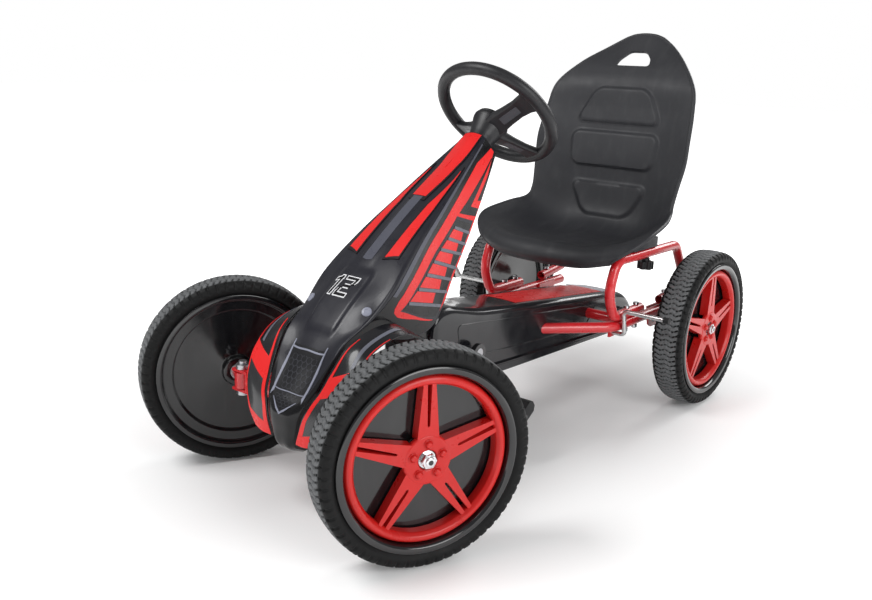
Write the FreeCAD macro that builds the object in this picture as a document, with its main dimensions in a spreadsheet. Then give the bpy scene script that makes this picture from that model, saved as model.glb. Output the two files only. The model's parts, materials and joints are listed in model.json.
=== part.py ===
import FreeCAD, Part
import math
import os
import re

import Sketcher
from FreeCAD import Placement, Rotation, Vector

# Pedal go kart, in millimetres. +X is the driver's left, +Y points backwards and +Z up. The origin
# is on the ground, under the middle of the kart's length. Heights count from the ground. Places
# along the kart count from the front axle, and front_axle_y carries them into the kart's frame.

SIZES = (
    # name, millimetres or degrees, meaning
    ("front_axle_y", -380, "front axle, from the origin"),
    ("wheelbase", 777, "front axle to rear axle"),
    ("axle_height", 145, "centre of every wheel above the ground"),
    ("kingpin_x", 159.7, "kingpin from the centre plane"),
    ("kingpin_offset", 55.7, "kingpin axis to the middle plane of a front wheel"),
    ("rear_track_half", 219.3, "centre plane to the middle plane of a rear wheel"),
    ("steer_left", 24.1, "left knuckle's turn to the driver's right at rest, degrees"),
    ("steer_right", 27.6, "right knuckle's turn to the driver's right at rest, degrees"),
    ("steer_column", 25.85, "steering wheel's turn to the driver's right at rest, degrees"),
    ("tyre_radius", 145, "tread crown"),
    ("tyre_half_width", 28, "widest place of the side wall"),
    ("tyre_bore", 118, "seat of the tyre on the rim"),
    ("shoulder_drop", 4, "tread crown to shoulder edge"),
    ("lip_radius", 123, "outer edge of the rim's lips"),
    ("lip_inner", 111.5, "inner edge of the outer lip"),
    ("rim_seat", 117.8, "rim surface under the tyre"),
    ("lip_half", 27.5, "rim lip face from the middle plane"),
    ("lip_back", 23.8, "back of the rim lips from the middle plane"),
    ("web_inner", -12, "inboard face of the rim's disc"),
    ("web_outer", 0, "outboard face of the rim's disc"),
    ("dish_radius", 97, "recessed part of the inboard face"),
    ("dish_step", 7, "depth of that recess"),
    ("hub_radius", 24, "hub boss of the rim"),
    ("hub_inner", -20, "inboard end of the hub boss"),
    ("hub_outer", 12, "outboard end of the hub boss"),
    ("bush_radius", 11, "hub bushes, outside"),
    ("bush_flange", 12, "flange of a hub bush"),
    ("bush_length", 13, "sleeve of a hub bush"),
    ("axle_radius", 6, "stub axles and rear axle"),
    ("running", 0.05, "radial running clearance"),
    ("star_radius", 110.7, "outside of the star cover's ring"),
    ("star_ring", 13.7, "radial width of that ring"),
    ("star_back", 3, "back face of the star cover"),
    ("star_face", 19, "front face of the spokes"),
    ("star_crest", 23, "crest of the ring"),
    ("star_hub", 33, "round middle of the star cover"),
    ("spoke_root", 15, "half width of a spoke at the hub"),
    ("spoke_tip", 8.5, "half width of a spoke at the ring"),
    ("slot_root", 1.6, "half width of the spoke's slot at the hub"),
    ("slot_tip", 3, "half width of the spoke's slot at the ring"),
    ("star_hole", 12.5, "hole for the hub nut"),
    ("lug_circle", 21, "circle of the lug heads"),
    ("lug_radius", 4.6, "lug head"),
    ("nut_radius", 10.4, "hub nut across its corners, halved"),
    ("nut_height", 9, "hub nut"),
    ("axle_beam_radius", 12.5, "front axle tube"),
    ("wall", 1.6, "wall of the steel tubes"),
    ("sleeve_radius", 12.5, "knuckle sleeve"),
    ("sleeve_half", 12, "half the height of the knuckle sleeve"),
    ("yoke_plate", 4, "thickness of the yoke plates"),
    ("yoke_half", 17, "outer face of a yoke plate from the axle height"),
    ("yoke_inner_x", 140, "yoke's back plate from the centre plane"),
    ("yoke_outer_x", 173, "yoke's open end"),
    ("steering_arm", 40, "steering arms and drop arm, pivot to pivot"),
    ("tie_rod_radius", 3.2, "tie rod"),
    ("tie_rod_drop", 5.5, "tie rods below the axle height"),
    ("wheel_y", 397, "steering wheel centre, behind the front axle"),
    ("wheel_z", 534.5, "steering wheel centre"),
    ("column_tilt", 42.7, "column above the horizontal, degrees"),
    ("column_radius", 8, "steering column rod"),
    ("column_length", 500, "steering column rod"),
    ("column_end", 518.4, "steering wheel centre to the lower end of the column"),
    ("rim_radius", 97.3, "steering wheel rim, middle of its section"),
    ("rim_tube", 10.3, "steering wheel rim section"),
    ("main_tube", 13, "central frame tube"),
    ("main_x", -12, "central frame tube, beside the chain"),
    ("side_tube", 9.5, "side frame tubes"),
    ("side_x", 135, "side tubes and seat hoops from the centre plane"),
    ("side_z", 163, "side tubes"),
    ("hoop_tube", 9, "seat hoops"),
    ("hoop_top", 285, "top run of a seat hoop"),
    ("hoop_low", 182, "low run of a seat hoop"),
    ("cross_y", 650, "cross tube behind the front axle"),
    ("crank_y", 285, "crank axle behind the front axle"),
    ("crank_z", 172, "crank axle"),
    ("crank_length", 92, "crank arm, centre to centre"),
    ("crank_angle", -80, "left crank arm above the rearward direction, degrees"),
    ("crank_shaft", 8, "crank axle"),
    ("arm_x", 62, "inner face of a crank arm"),
    ("arm_thick", 8, "crank arm"),
    ("arm_half", 12, "crank arm half width"),
    ("pedal_x", 81, "inner end of a pedal"),
    ("pedal_width", 69, "pedal along its spindle"),
    ("pedal_length", 60, "pedal across its spindle"),
    ("pedal_thick", 22, "pedal"),
    ("pedal_tilt", 35, "pedal, front edge down, degrees"),
    ("spindle_radius", 5, "pedal spindle"),
    ("chain_x", 20, "chain plane"),
    ("chain_pitch", 12.7, "half-inch chain"),
    ("front_teeth", 20, "chainwheel"),
    ("rear_teeth", 13, "rear sprocket"),
    ("sprocket_thick", 4, "chainwheel and sprocket"),
    ("chain_width", 6, "chain"),
    ("guard_half", 52, "half width of the chain guard"),
    ("flange_half", 57, "half width of its flange"),
    ("guard_wall", 2.5, "wall of the guards and covers"),
    ("guard_front", 184, "front of the chain guard"),
    ("guard_rear", 832, "rear of the chain guard"),
    ("split_front", 141, "joint of the two guard shells at the front"),
    ("split_rear", 106, "joint of the two guard shells at the rear"),
    ("brake_y", 612, "brake shaft behind the front axle"),
    ("brake_z", 149, "brake shaft"),
    ("brake_rod", 4, "brake bar"),
    ("brake_arm_x", 150, "cranked part of the brake bar"),
    ("brake_end_x", 235.5, "end of the brake bar"),
    ("brake_bar_y", 601, "rubbing part of the brake bar"),
    ("brake_bar_z", 195, "rubbing part of the brake bar"),
    ("lever_x", -221, "brake lever"),
    ("seat_wall", 5, "wall of the seat shell"),
    ("handle_slot", 76, "length of the handle slot in the seat"),
    ("clamp_screw", 3, "radius of the seat clamp screws"),
    ("knob_radius", 15, "clamp knob over its lobes"),
)

DOC = FreeCAD.newDocument("PedalGoKart")
SHEET = DOC.addObject("Spreadsheet::Sheet", "Sizes")
for row, (alias, number, meaning) in enumerate(SIZES, start=1):
    SHEET.set(f"A{row}", meaning)
    SHEET.set(f"B{row}", str(number))
    SHEET.setAlias(f"B{row}", alias)
DOC.recompute()

ALIASES = {alias for alias, number, meaning in SIZES}
SUB_PARTS = []


def size(alias):
    """The number in the sheet cell of that name."""
    return float(SHEET.get(alias))


def bound(formula):
    """A formula over sheet cells, as an expression that the document understands."""
    return re.sub(r"[a-z]\w*", lambda m: f"Sizes.{m[0]}" if m[0] in ALIASES else m[0], str(formula))


def behind(distance):
    """Y of a point that lies this far behind the front axle."""
    return size("front_axle_y") + distance


def place(thing, x=0, y="front_axle_y", z=0, turn=None):
    """Give a document object its place; x, y and z are numbers or formulas."""
    thing.Placement = Placement(Vector(), turn or Rotation())
    for axis, formula in (("x", x), ("y", y), ("z", z)):
        thing.setExpression(f"Placement.Base.{axis}", bound(formula))
    return thing


def sub_part(label, thing):
    """Name a finished sub-part and list it for writing."""
    thing.Label = label
    SUB_PARTS.append(thing)
    return thing


# Sketches and PartDesign features


def new_body(name):
    return DOC.addObject("PartDesign::Body", name)


def new_sketch(body, plane, height=0):
    """A sketch on one of the body's own origin planes, lifted along its normal."""
    sketch = body.newObject("Sketcher::SketchObject", "Sketch")
    origin_plane = [o for o in body.Origin.OriginFeatures if o.Role == plane][0]
    sketch.AttachmentSupport = (origin_plane, "")
    sketch.MapMode = "FlatFace"
    sketch.setExpression("AttachmentOffset.Base.z", bound(height))
    return sketch


def outline(body, plane, corners, height=0):
    """A closed outline; each corner's two coordinates are formulas over the sheet."""
    sketch = new_sketch(body, plane, height)
    count = len(corners)
    start = [Vector(math.cos(math.tau * i / count), math.sin(math.tau * i / count), 0) for i in range(count)]
    for i in range(count):
        sketch.addGeometry(Part.LineSegment(start[i] * 10, start[(i + 1) % count] * 10), False)
    for i in range(count):
        sketch.addConstraint(Sketcher.Constraint("Coincident", i, 2, (i + 1) % count, 1))
    for i, corner in enumerate(corners):
        for kind, here, formula in (("DistanceX", start[i].x, corner[0]), ("DistanceY", start[i].y, corner[1])):
            index = sketch.addConstraint(Sketcher.Constraint(kind, -1, 1, i, 1, here * 10))
            sketch.setExpression(f"Constraints[{index}]", bound(formula))
    return sketch


def discs(body, plane, circles, height=0):
    """Circles (x, y, radius) in one sketch."""
    sketch = new_sketch(body, plane, height)
    for i, (x, y, radius) in enumerate(circles):
        sketch.addGeometry(Part.Circle(Vector(0, 0, 0), Vector(0, 0, 1), 1), False)
        for constraint, formula in (
            (Sketcher.Constraint("Radius", i, 1.0), radius),
            (Sketcher.Constraint("DistanceX", -1, 1, i, 3, 0.0), x),
            (Sketcher.Constraint("DistanceY", -1, 1, i, 3, 0.0), y),
        ):
            index = sketch.addConstraint(constraint)
            sketch.setExpression(f"Constraints[{index}]", bound(formula))
    return sketch


def pad(body, sketch, length, both_ways=False):
    feature = body.newObject("PartDesign::Pad", "Pad")
    feature.Profile = sketch
    feature.Midplane = both_ways
    feature.setExpression("Length", bound(length))
    return feature


def spin(body, sketch, axis="V_Axis"):
    """A full revolution of the sketch about its own axis."""
    feature = body.newObject("PartDesign::Revolution", "Revolution")
    feature.Profile = sketch
    feature.ReferenceAxis = (sketch, [axis])
    feature.Angle = 360
    return feature


def cut_through(body, sketch):
    """Cut the sketch right through the body, both ways."""
    before = tip_volume(body)
    feature = body.newObject("PartDesign::Pocket", "Pocket")
    feature.Profile = sketch
    feature.Type = "ThroughAll"
    feature.Midplane = True
    if tip_volume(body) >= before:
        raise RuntimeError(f"{body.Name}: a pocket cuts nothing")
    return feature


def tip_volume(body):
    DOC.recompute()
    return body.Shape.Volume


def around(body, feature, times):
    """Repeat a feature evenly about the body's Z axis."""
    z_axis = [o for o in body.Origin.OriginFeatures if o.Role == "Z_Axis"][0]
    pattern = body.newObject("PartDesign::PolarPattern", "PolarPattern")
    pattern.Originals = [feature]
    pattern.Axis = (z_axis, [""])
    pattern.Angle = 360
    pattern.Occurrences = times
    body.Tip = pattern
    return pattern



def cylinder(radius, length, x=0, y="front_axle_y", z=0, turn=None):
    """A cylinder that starts at the given place and runs along its own Z."""
    thing = DOC.addObject("Part::Cylinder", "Cylinder")
    thing.setExpression("Radius", bound(radius))
    thing.setExpression("Height", bound(length))
    return place(thing, x, y, z, turn)


def fuse(*things):
    feature = DOC.addObject("Part::MultiFuse", "Fusion")
    feature.Shapes = list(things)
    return feature


def cut(base, *tools):
    feature = DOC.addObject("Part::Cut", "Cut")
    feature.Base = base
    feature.Tool = tools[0] if len(tools) == 1 else fuse(*tools)
    return feature


def group(*things):
    """Separate solids that share one node."""
    feature = DOC.addObject("Part::Compound", "Group")
    feature.Links = list(things)
    return feature


def ring(outer, inner, length, x=0, y="front_axle_y", z=0, turn=None):
    """A tube or washer; the bore runs a little past both ends."""
    return cut(cylinder(outer, length, x, y, z, turn), cylinder(inner, length, x, y, z, turn))


ALONG_X = Rotation(Vector(0, 1, 0), 90)
ALONG_MINUS_X = Rotation(Vector(0, 1, 0), -90)
DOWN = Rotation(Vector(1, 0, 0), 180)


def turned_path(corners, bends):
    """A wire along the corners, with each inner corner rounded to its bend radius."""
    edges = []
    last = corners[0]
    for before, corner, after, bend in zip(corners, corners[1:], corners[2:], bends):
        into = (corner - before).normalize()
        out = (after - corner).normalize()
        half_turn = into.getAngle(out) / 2
        setback = bend * math.tan(half_turn)
        start = corner - into * setback
        end = corner + out * setback
        inward = (out - into).normalize()
        middle = corner + inward * (bend / math.cos(half_turn) - bend)
        edges.append(Part.LineSegment(last, start).toShape())
        edges.append(Part.Arc(start, middle, end).toShape())
        last = end
    edges.append(Part.LineSegment(last, corners[-1]).toShape())
    return Part.Wire(edges)


def swept_rod(corners, bends, radius):
    """A round rod along a bent path; radius is a formula over the sheet."""
    spine = DOC.addObject("Part::Feature", "Spine")
    spine.Shape = turned_path(corners, bends)
    section = DOC.addObject("Part::Circle", "Section")
    section.setExpression("Radius", bound(radius))
    heading = Rotation(Vector(0, 0, 1), corners[1] - corners[0])
    section.Placement = Placement(corners[0], heading)
    sweep = DOC.addObject("Part::Sweep", "Sweep")
    sweep.Sections = [section]
    sweep.Spine = (spine, [f"Edge{i + 1}" for i in range(len(spine.Shape.Edges))])
    sweep.Solid = True
    sweep.Frenet = False
    return sweep


def bent_tube(corners, bends, radius):
    """A steel tube along a bent path, open at both ends."""
    return cut(swept_rod(corners, bends, radius), swept_rod(corners, bends, f"{radius} - wall"))


def plane_path(x, corners):
    """Corner points in a plane of constant X; each corner is (behind the front axle, height)."""
    return [Vector(x, behind(y), z) for y, z in corners]


# Wheels, built about their own axis: +Z points outboard and +Y is up at rest


def tyre(place_it):
    body = new_body("Tyre")
    half = [
        ("tyre_bore", "lip_back - 0.3"),
        ("lip_radius + 0.3", "lip_back - 0.3"),
        ("lip_radius + 4", "tyre_half_width - 0.5"),
        ("tyre_radius - 9", "tyre_half_width"),
        ("tyre_radius - shoulder_drop", "tyre_half_width - 3"),
        ("tyre_radius - 1", "tyre_half_width - 11"),
        ("tyre_radius", "8"),
    ]
    mirrored = [(r, f"-({z})") for r, z in reversed(half)]
    spin(body, outline(body, "XZ_Plane", half + mirrored))
    return place_it(body)


def rim(place_it):
    body = new_body("Rim")
    corners = [
        ("bush_radius", "hub_inner"),
        ("hub_radius - 2", "hub_inner"),
        ("hub_radius", "web_inner"),
        ("dish_radius", "web_inner"),
        ("dish_radius", "web_inner - dish_step"),
        ("lip_inner + 1.5", "web_inner - dish_step"),
        ("lip_inner + 2.5", "-lip_half + 1.5"),
        ("lip_inner + 5", "-lip_half"),
        ("lip_radius", "-lip_half + 0.5"),
        ("lip_radius", "-lip_back"),
        ("rim_seat", "-lip_back"),
        ("rim_seat", "lip_back"),
        ("lip_radius", "lip_back"),
        ("lip_radius", "lip_half - 1"),
        ("lip_radius - 3", "lip_half + 0.5"),
        ("lip_inner + 2.5", "lip_half - 0.5"),
        ("lip_inner", "lip_half - 5"),
        ("lip_inner", "web_outer"),
        ("hub_radius + 2", "web_outer"),
        ("hub_radius", "hub_outer"),
        ("bush_radius", "hub_outer"),
    ]
    spin(body, outline(body, "XZ_Plane", corners))
    return place_it(body)


def star_cover():
    """The red five-spoke cover; each spoke is a pair of ribs with a slot between them."""
    body = new_body("StarCover")
    ring_section = [
        ("star_radius - star_ring", "star_back"),
        ("star_radius", "star_back"),
        ("star_radius", "star_face - 3"),
        ("star_radius - 2.5", "star_crest - 2"),
        ("star_radius - 6", "star_crest"),
        ("star_radius - 10", "star_crest - 1"),
        ("star_radius - star_ring", "star_face - 2"),
    ]
    spin(body, outline(body, "XZ_Plane", ring_section))
    hub = discs(body, "XY_Plane", [(0, 0, "star_hub")], "hub_outer + 0.3")
    pad(body, hub, "star_face - hub_outer - 1.3")
    inside = "star_radius - star_ring + 2"
    spoke = [
        ("-spoke_root", "star_hub - 5"),
        ("spoke_root", "star_hub - 5"),
        ("spoke_tip", inside),
        ("-spoke_tip", inside),
    ]
    rib = pad(body, outline(body, "XY_Plane", spoke, "star_back"), "star_face - star_back")
    around(body, rib, 5)
    slot = [
        ("-slot_root", "star_hub + 9"),
        ("slot_root", "star_hub + 9"),
        ("slot_tip", "star_radius - star_ring - 1"),
        ("-slot_tip", "star_radius - star_ring - 1"),
    ]
    slit = cut_through(body, outline(body, "XY_Plane", slot))
    around(body, slit, 5)
    cut_through(body, discs(body, "XY_Plane", [(0, 0, "star_hole")]))
    return body


def lug_heads():
    """Five bolt heads that lie just above the star cover's hub."""
    heads = []
    for i in range(5):
        angle = math.radians(90 + 72 * i)
        x = size("lug_circle") * math.cos(angle)
        y = size("lug_circle") * math.sin(angle)
        heads.append(cylinder("lug_radius", 4, x, y, "star_face - 0.9"))
    return heads


def hub_bushes(place_it):
    """Two flanged plastic bushes, pressed in from both ends of the hub."""
    bushes = []
    for end, outward, turn in (("hub_outer", 1, DOWN), ("hub_inner", -1, None)):
        flange = cylinder("bush_flange", 3, 0, 0, f"{end} + {3 * outward}", turn)
        sleeve = cylinder("bush_radius - running", "bush_length + 3", 0, 0, f"{end} + {3 * outward}", turn)
        bore = cylinder("axle_radius + running", "bush_length + 3", 0, 0, f"{end} + {3 * outward}", turn)
        bushes.append(cut(fuse(flange, sleeve), bore))
    return place_it(group(*bushes))


def hub_nut():
    body = new_body("HubNut")
    corners = []
    for i in range(6):
        angle = 60 * i
        corners.append((f"nut_radius * cos({angle})", f"nut_radius * sin({angle})"))
    pad(body, outline(body, "XY_Plane", corners, "hub_outer + 3.3"), "nut_height")
    cut_through(body, discs(body, "XY_Plane", [(0, 0, "axle_radius + running")]))
    return body


def wheel_place(side, x, y, turned):
    """Where a wheel goes: side is 1 on the driver's left, turned is its steering angle."""
    angle = math.radians(turned)
    outward = Vector(side * math.cos(angle), -side * math.sin(angle), 0)
    upright = Rotation(Vector(0, 0, 1).cross(outward), Vector(0, 0, 1), outward, "ZYX")
    centre = Vector(x, y, size("axle_height")) + outward * (size("kingpin_offset") if turned else 0)
    if not turned:
        centre.x = side * size("rear_track_half")

    def place_it(thing):
        thing.Placement = Placement(centre, upright).multiply(thing.Placement)
        return thing

    return place_it


WHEELS = (
    ("front_left", 1, size("kingpin_x"), behind(0), size("steer_left")),
    ("front_right", -1, -size("kingpin_x"), behind(0), size("steer_right")),
    ("rear_left", 1, 0, behind(size("wheelbase")), 0),
    ("rear_right", -1, 0, behind(size("wheelbase")), 0),
)


def build_wheels():
    for name, side, x, y, turned in WHEELS:
        place_it = wheel_place(side, x, y, turned)
        sub_part(f"{name}_tyre", tyre(place_it))
        sub_part(f"{name}_rim", rim(place_it))
        sub_part(f"{name}_star", place_it(group(star_cover(), *lug_heads())))
        if name != "rear_left":
            sub_part(f"{name}_bushes", hub_bushes(place_it))
        if name.startswith("front"):
            sub_part(f"{name}_nut", place_it(hub_nut()))
    nuts = [wheel_place(side, 0, behind(size("wheelbase")), 0)(hub_nut()) for side in (1, -1)]
    sub_part("rear_hub_nuts", group(*nuts))


# Front axle and steering


def build_front_axle():
    beam_half = "yoke_inner_x - running"
    beam = ring(
        "axle_beam_radius", "axle_beam_radius - wall", f"2 * ({beam_half})", f"-({beam_half})",
        "front_axle_y", "axle_height", ALONG_X,
    )
    sub_part("front_axle_tube", beam)
    sub_part("axle_yokes", group(axle_yoke(1), axle_yoke(-1)))
    sub_part("kingpins", group(kingpin(1), kingpin(-1)))
    sub_part("knuckle_left", knuckle(1))
    sub_part("knuckle_right", knuckle(-1))


def axle_yoke(side):
    """A channel with its open end outboard; the kingpin goes through both of its plates."""
    body = new_body("Yoke")
    top = "yoke_half"
    web = "yoke_inner_x + yoke_plate"
    profile = [
        ("yoke_inner_x", f"-{top}"),
        ("yoke_outer_x", f"-{top}"),
        ("yoke_outer_x", f"-{top} + yoke_plate"),
        (web, f"-{top} + yoke_plate"),
        (web, f"{top} - yoke_plate"),
        ("yoke_outer_x", f"{top} - yoke_plate"),
        ("yoke_outer_x", top),
        ("yoke_inner_x", top),
    ]
    pad(body, outline(body, "XZ_Plane", [(f"{side} * ({x})", z) for x, z in profile]), 20, True)
    cut_through(body, discs(body, "XY_Plane", [(f"{side} * kingpin_x", 0, "axle_radius + running")]))
    return place(body, z="axle_height")


def kingpin(side):
    """A bolt from below, with its nut on top."""
    x = f"{side} * kingpin_x"
    low = "axle_height - yoke_half"
    shank = cylinder("axle_radius", "2 * yoke_half + 12", x, z=low)
    head = cylinder("axle_radius + 4", 6, x, z=f"{low} - 6.1")
    neck = cylinder("axle_radius", 0.2, x, z=f"{low} - 0.15")
    nut = cylinder("axle_radius + 4", 7, x, z="axle_height + yoke_half + 0.1")
    return fuse(shank, head, neck, nut)


def knuckle(side):
    """Sleeve, stub axle and steering arm in one, turned about the kingpin to its rest angle."""
    reach = "kingpin_offset + hub_outer + nut_height + 6"
    sleeve = cylinder("sleeve_radius", "2 * sleeve_half", 0, 0, "-sleeve_half")
    stub = cylinder("axle_radius", reach, 0, 0, 0, ALONG_X)
    collar = cylinder("axle_radius + 3.5", "kingpin_offset + hub_inner - 3.3", 0, 0, 0, ALONG_X)
    arm = DOC.addObject("Part::Box", "Arm")
    for prop, formula in (("Length", "14"), ("Width", "steering_arm"), ("Height", "4")):
        arm.setExpression(prop, bound(formula))
    place(arm, -7, 0, -2)
    eye = cylinder(9, 4, 0, "steering_arm", -2)
    bore = cylinder("axle_radius + running", "4 * sleeve_half", 0, 0, "-2 * sleeve_half")
    stud_hole = cylinder("3 + running", 12, 0, "steering_arm", -6)
    whole = cut(fuse(sleeve, stub, collar, arm, eye), bore, stud_hole)
    angle = -size("steer_left") if side > 0 else 180 - size("steer_right")
    turn = Rotation(Vector(0, 0, 1), angle)
    if side < 0:
        whole = mirrored_arm(whole)
    return place(whole, f"{side} * kingpin_x", "front_axle_y", "axle_height", turn)


def mirrored_arm(thing):
    """The right knuckle is the left one's mirror image."""
    mirror = DOC.addObject("Part::Mirroring", "Mirror")
    mirror.Source = thing
    mirror.Normal = Vector(0, 1, 0)
    return mirror


def arm_end(side):
    """Centre of a steering arm's eye at rest."""
    angle = math.radians(size("steer_left") if side > 0 else size("steer_right"))
    arm = size("steering_arm")
    return Vector(side * size("kingpin_x") + arm * math.sin(angle), behind(arm * math.cos(angle)), 0)


def drop_arm_end():
    """Centre of the drop arm's lower eye at rest."""
    angle = math.radians(size("steer_column"))
    return column_place(size("column_end")).multVec(
        Vector(math.sin(angle) * size("steering_arm"), math.cos(angle) * size("steering_arm"), 0)
    )


def column_place(down, turned=0):
    """A place on the steering axis, so far down from the wheel's centre; local +Z points at the driver."""
    tilt = Rotation(Vector(1, 0, 0), size("column_tilt") - 90)
    axis = tilt.multVec(Vector(0, 0, 1))
    centre = Vector(0, behind(size("wheel_y")), size("wheel_z"))
    return Placement(centre - axis * down, tilt.multiply(Rotation(Vector(0, 0, 1), -turned)))


def on_column(thing, down, turned=0):
    for axis in "xyz":
        thing.setExpression(f"Placement.Base.{axis}", None)
    thing.Placement = column_place(down, turned)
    return thing


def tie_rod(side):
    """A rod with an eye at each end and a stud up through the steering arm."""
    outer = arm_end(side)
    inner = drop_arm_end()
    inner = Vector(inner.x + side * 9, outer.y, 0)
    level = size("axle_height") - size("tie_rod_drop")
    low = level - 3
    eyes = [cylinder(7, 6, end.x, end.y, low) for end in (outer, inner)]
    stud = cylinder(3, "tie_rod_drop + 9", outer.x, outer.y, low)
    left, right = sorted((outer.x, inner.x))
    rod = cylinder("tie_rod_radius", right - left, left, outer.y, level, ALONG_X)
    return fuse(*eyes, stud, rod)


def build_steering():
    turned = size("steer_column")
    column = fuse(cylinder("column_radius", "column_length", 0, 0, 0), drop_arm())
    sub_part("steering_column", on_column(column, size("column_end"), turned))
    sub_part("steering_wheel", on_column(steering_wheel(), 0, turned))
    sub_part("wheel_cap", on_column(wheel_cap(), 0, turned))
    sub_part("spoke_inlays", on_column(spoke_inlays(), 0, turned))
    sub_part("tie_rod_left", tie_rod(1))
    sub_part("tie_rod_right", tie_rod(-1))
    holders = []
    bushes = []
    for down, length in ((LOWER_BUSH, 22), (UPPER_BUSH, 26)):
        holder = ring("column_radius + 7", "column_radius + 3", length, 0, 0, 0)
        bush = ring("column_radius + 3 - running", "column_radius + running", length, 0, 0, 0)
        holders.append(on_column(holder, down))
        bushes.append(on_column(bush, down))
    sub_part("column_holders", group(*holders))
    sub_part("column_bushes", group(*bushes))
    sub_part("column_supports", group(column_gusset(), column_strut()))


LOWER_BUSH = 507
UPPER_BUSH = 128


def drop_arm():
    """A flat arm under the column's end, with an eye for the tie rods."""
    hub = cylinder("column_radius + 5", 12, 0, 0, -4)
    eye = cylinder(8, 4, 0, "steering_arm", -4)
    bar = DOC.addObject("Part::Box", "Bar")
    for prop, formula in (("Length", "16"), ("Width", "steering_arm"), ("Height", "4")):
        bar.setExpression(prop, bound(formula))
    place(bar, -8, 0, -4)
    hole = cylinder("3.5", 12, 0, "steering_arm", -8)
    return cut(fuse(hub, eye, bar), hole)


def column_gusset():
    """The plate that carries the lower holder on the front axle tube."""
    body = new_body("Gusset")
    profile = [
        ("-11", "axle_height + 2"),
        ("-1", "axle_height + 2"),
        ("-1", "axle_height + 49"),
        ("9", "axle_height + 60"),
        ("18", "axle_height + 56.5"),
        ("31", "axle_height + 68.4"),
        ("25", "axle_height + 77"),
        ("-11", "axle_height + 61"),
    ]
    pad(body, outline(body, "YZ_Plane", profile), 8, True)
    place(body)
    tube = cylinder(
        "axle_beam_radius", "2 * yoke_inner_x", "-yoke_inner_x", "front_axle_y", "axle_height", ALONG_X
    )
    holder = on_column(cylinder("column_radius + 7", 60, 0, 0, 0), LOWER_BUSH + 20)
    return cut(body, tube, holder)


def steering_wheel():
    """Rim, three spokes and hub moulded in one; the plain spoke points at the driver when straight."""
    rim_ring = DOC.addObject("Part::Torus", "RimRing")
    rim_ring.setExpression("Radius1", bound("rim_radius"))
    rim_ring.setExpression("Radius2", bound("rim_tube"))
    hub = new_body("WheelHub")
    corners = [
        ("column_radius + running", -78),
        ("column_radius + 11", -78),
        ("column_radius + 11", -70),
        ("column_radius + 13", -52),
        ("column_radius + 18", -36),
        ("column_radius + 22", -24),
        ("column_radius + 22", -18),
        ("column_radius + running", -18),
    ]
    spin(hub, outline(hub, "XZ_Plane", corners))
    place(hub, 0, 0, 0)
    spokes = []
    for angle, width in ((0, 26), (90, 32), (-90, 32)):
        spoke = new_body("Spoke")
        side_view = [
            ("column_radius + 8", -42),
            ("column_radius + 24", -32),
            ("rim_radius - 2", -5),
            ("rim_radius - 2", 4),
            ("column_radius + 20", -20),
            ("column_radius + 8", -20),
        ]
        pad(spoke, outline(spoke, "YZ_Plane", side_view), width, True)
        spokes.append(place(spoke, 0, 0, 0, Rotation(Vector(0, 0, 1), angle)))
    return fuse(rim_ring, hub, *spokes)


def wheel_cap():
    """The round cap in the middle of the steering wheel."""
    body = new_body("WheelCap")
    corners = [
        ("0", -17.8),
        ("column_radius + 20", -17.8),
        ("column_radius + 20", -14),
        ("column_radius + 15", -11.5),
        ("0", -10.5),
    ]
    spin(body, outline(body, "XZ_Plane", corners))
    return body


def spoke_inlays():
    """Thin grey strips on the underside of the three spokes."""
    strips = []
    for angle in (0, 90, -90):
        body = new_body("Inlay")
        strip = [
            ("column_radius + 30", -29.6),
            ("rim_radius - 18", -12),
            ("rim_radius - 18.6", -13.4),
            ("column_radius + 29.4", -31),
        ]
        pad(body, outline(body, "YZ_Plane", strip), 14, True)
        strips.append(place(body, 0, 0, 0, Rotation(Vector(0, 0, 1), angle)))
    return group(*strips)


# Frame


def side_tube_corners(side):
    """From the central tube out through the guard's side wall, then straight back."""
    x = side * size("side_x")
    z = size("side_z")
    wall = Vector(side * size("guard_half"), behind(505), z)
    bend = Vector(x, behind(598), z)
    away = (wall - bend) * ((bend.x - size("main_x")) / (bend.x - wall.x))
    return [bend + away, bend, Vector(x, behind(850), z)]


def main_tube_corners():
    x = size("main_x")
    low = size("axle_height") - size("axle_beam_radius") - size("main_tube")
    return plane_path(x, [(-14, low), (66, low), (126, 150), (640, 150)])


def shell_tool():
    """The outside of the bottom bracket shell, for coping the main tube."""
    return cylinder(17, 50, -38, "front_axle_y + crank_y", "crank_z", ALONG_X)


def build_frame():
    main = bent_tube(main_tube_corners(), [60, 60], "main_tube")
    brake_hole = cylinder(
        "brake_rod + 1.5", 60, "main_x - 30", "front_axle_y + brake_y", "brake_z", ALONG_X
    )
    shell = ring(17, 15, 50, -38, "front_axle_y + crank_y", "crank_z", ALONG_X)
    sub_part("main_tube", group(cut(main, shell_tool(), brake_hole), shell, cross_tube()))
    sub_part("side_tube_left", side_tube(1))
    sub_part("side_tube_right", side_tube(-1))
    sub_part("seat_hoops", group(seat_hoop(1), seat_hoop(-1)))
    sub_part("axle_brackets", group(axle_bracket(1), axle_bracket(-1)))
    sub_part("hoop_bolts", hoop_bolts())
    sub_part("axle_bushes", axle_bushes())
    sub_part("brake_brackets", brake_brackets())


def side_tube(side):
    """Coped onto the central tube, and drilled for the hoop bolts."""
    tube = bent_tube(side_tube_corners(side), [70], "side_tube")
    main = swept_rod(main_tube_corners(), [60, 60], "main_tube")
    x = side * size("side_x")
    holes = [cylinder(3.1, 30, x, behind(y), "side_z - 15") for y in HOOP_BOLTS]
    return cut(tube, main, *holes)


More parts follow.
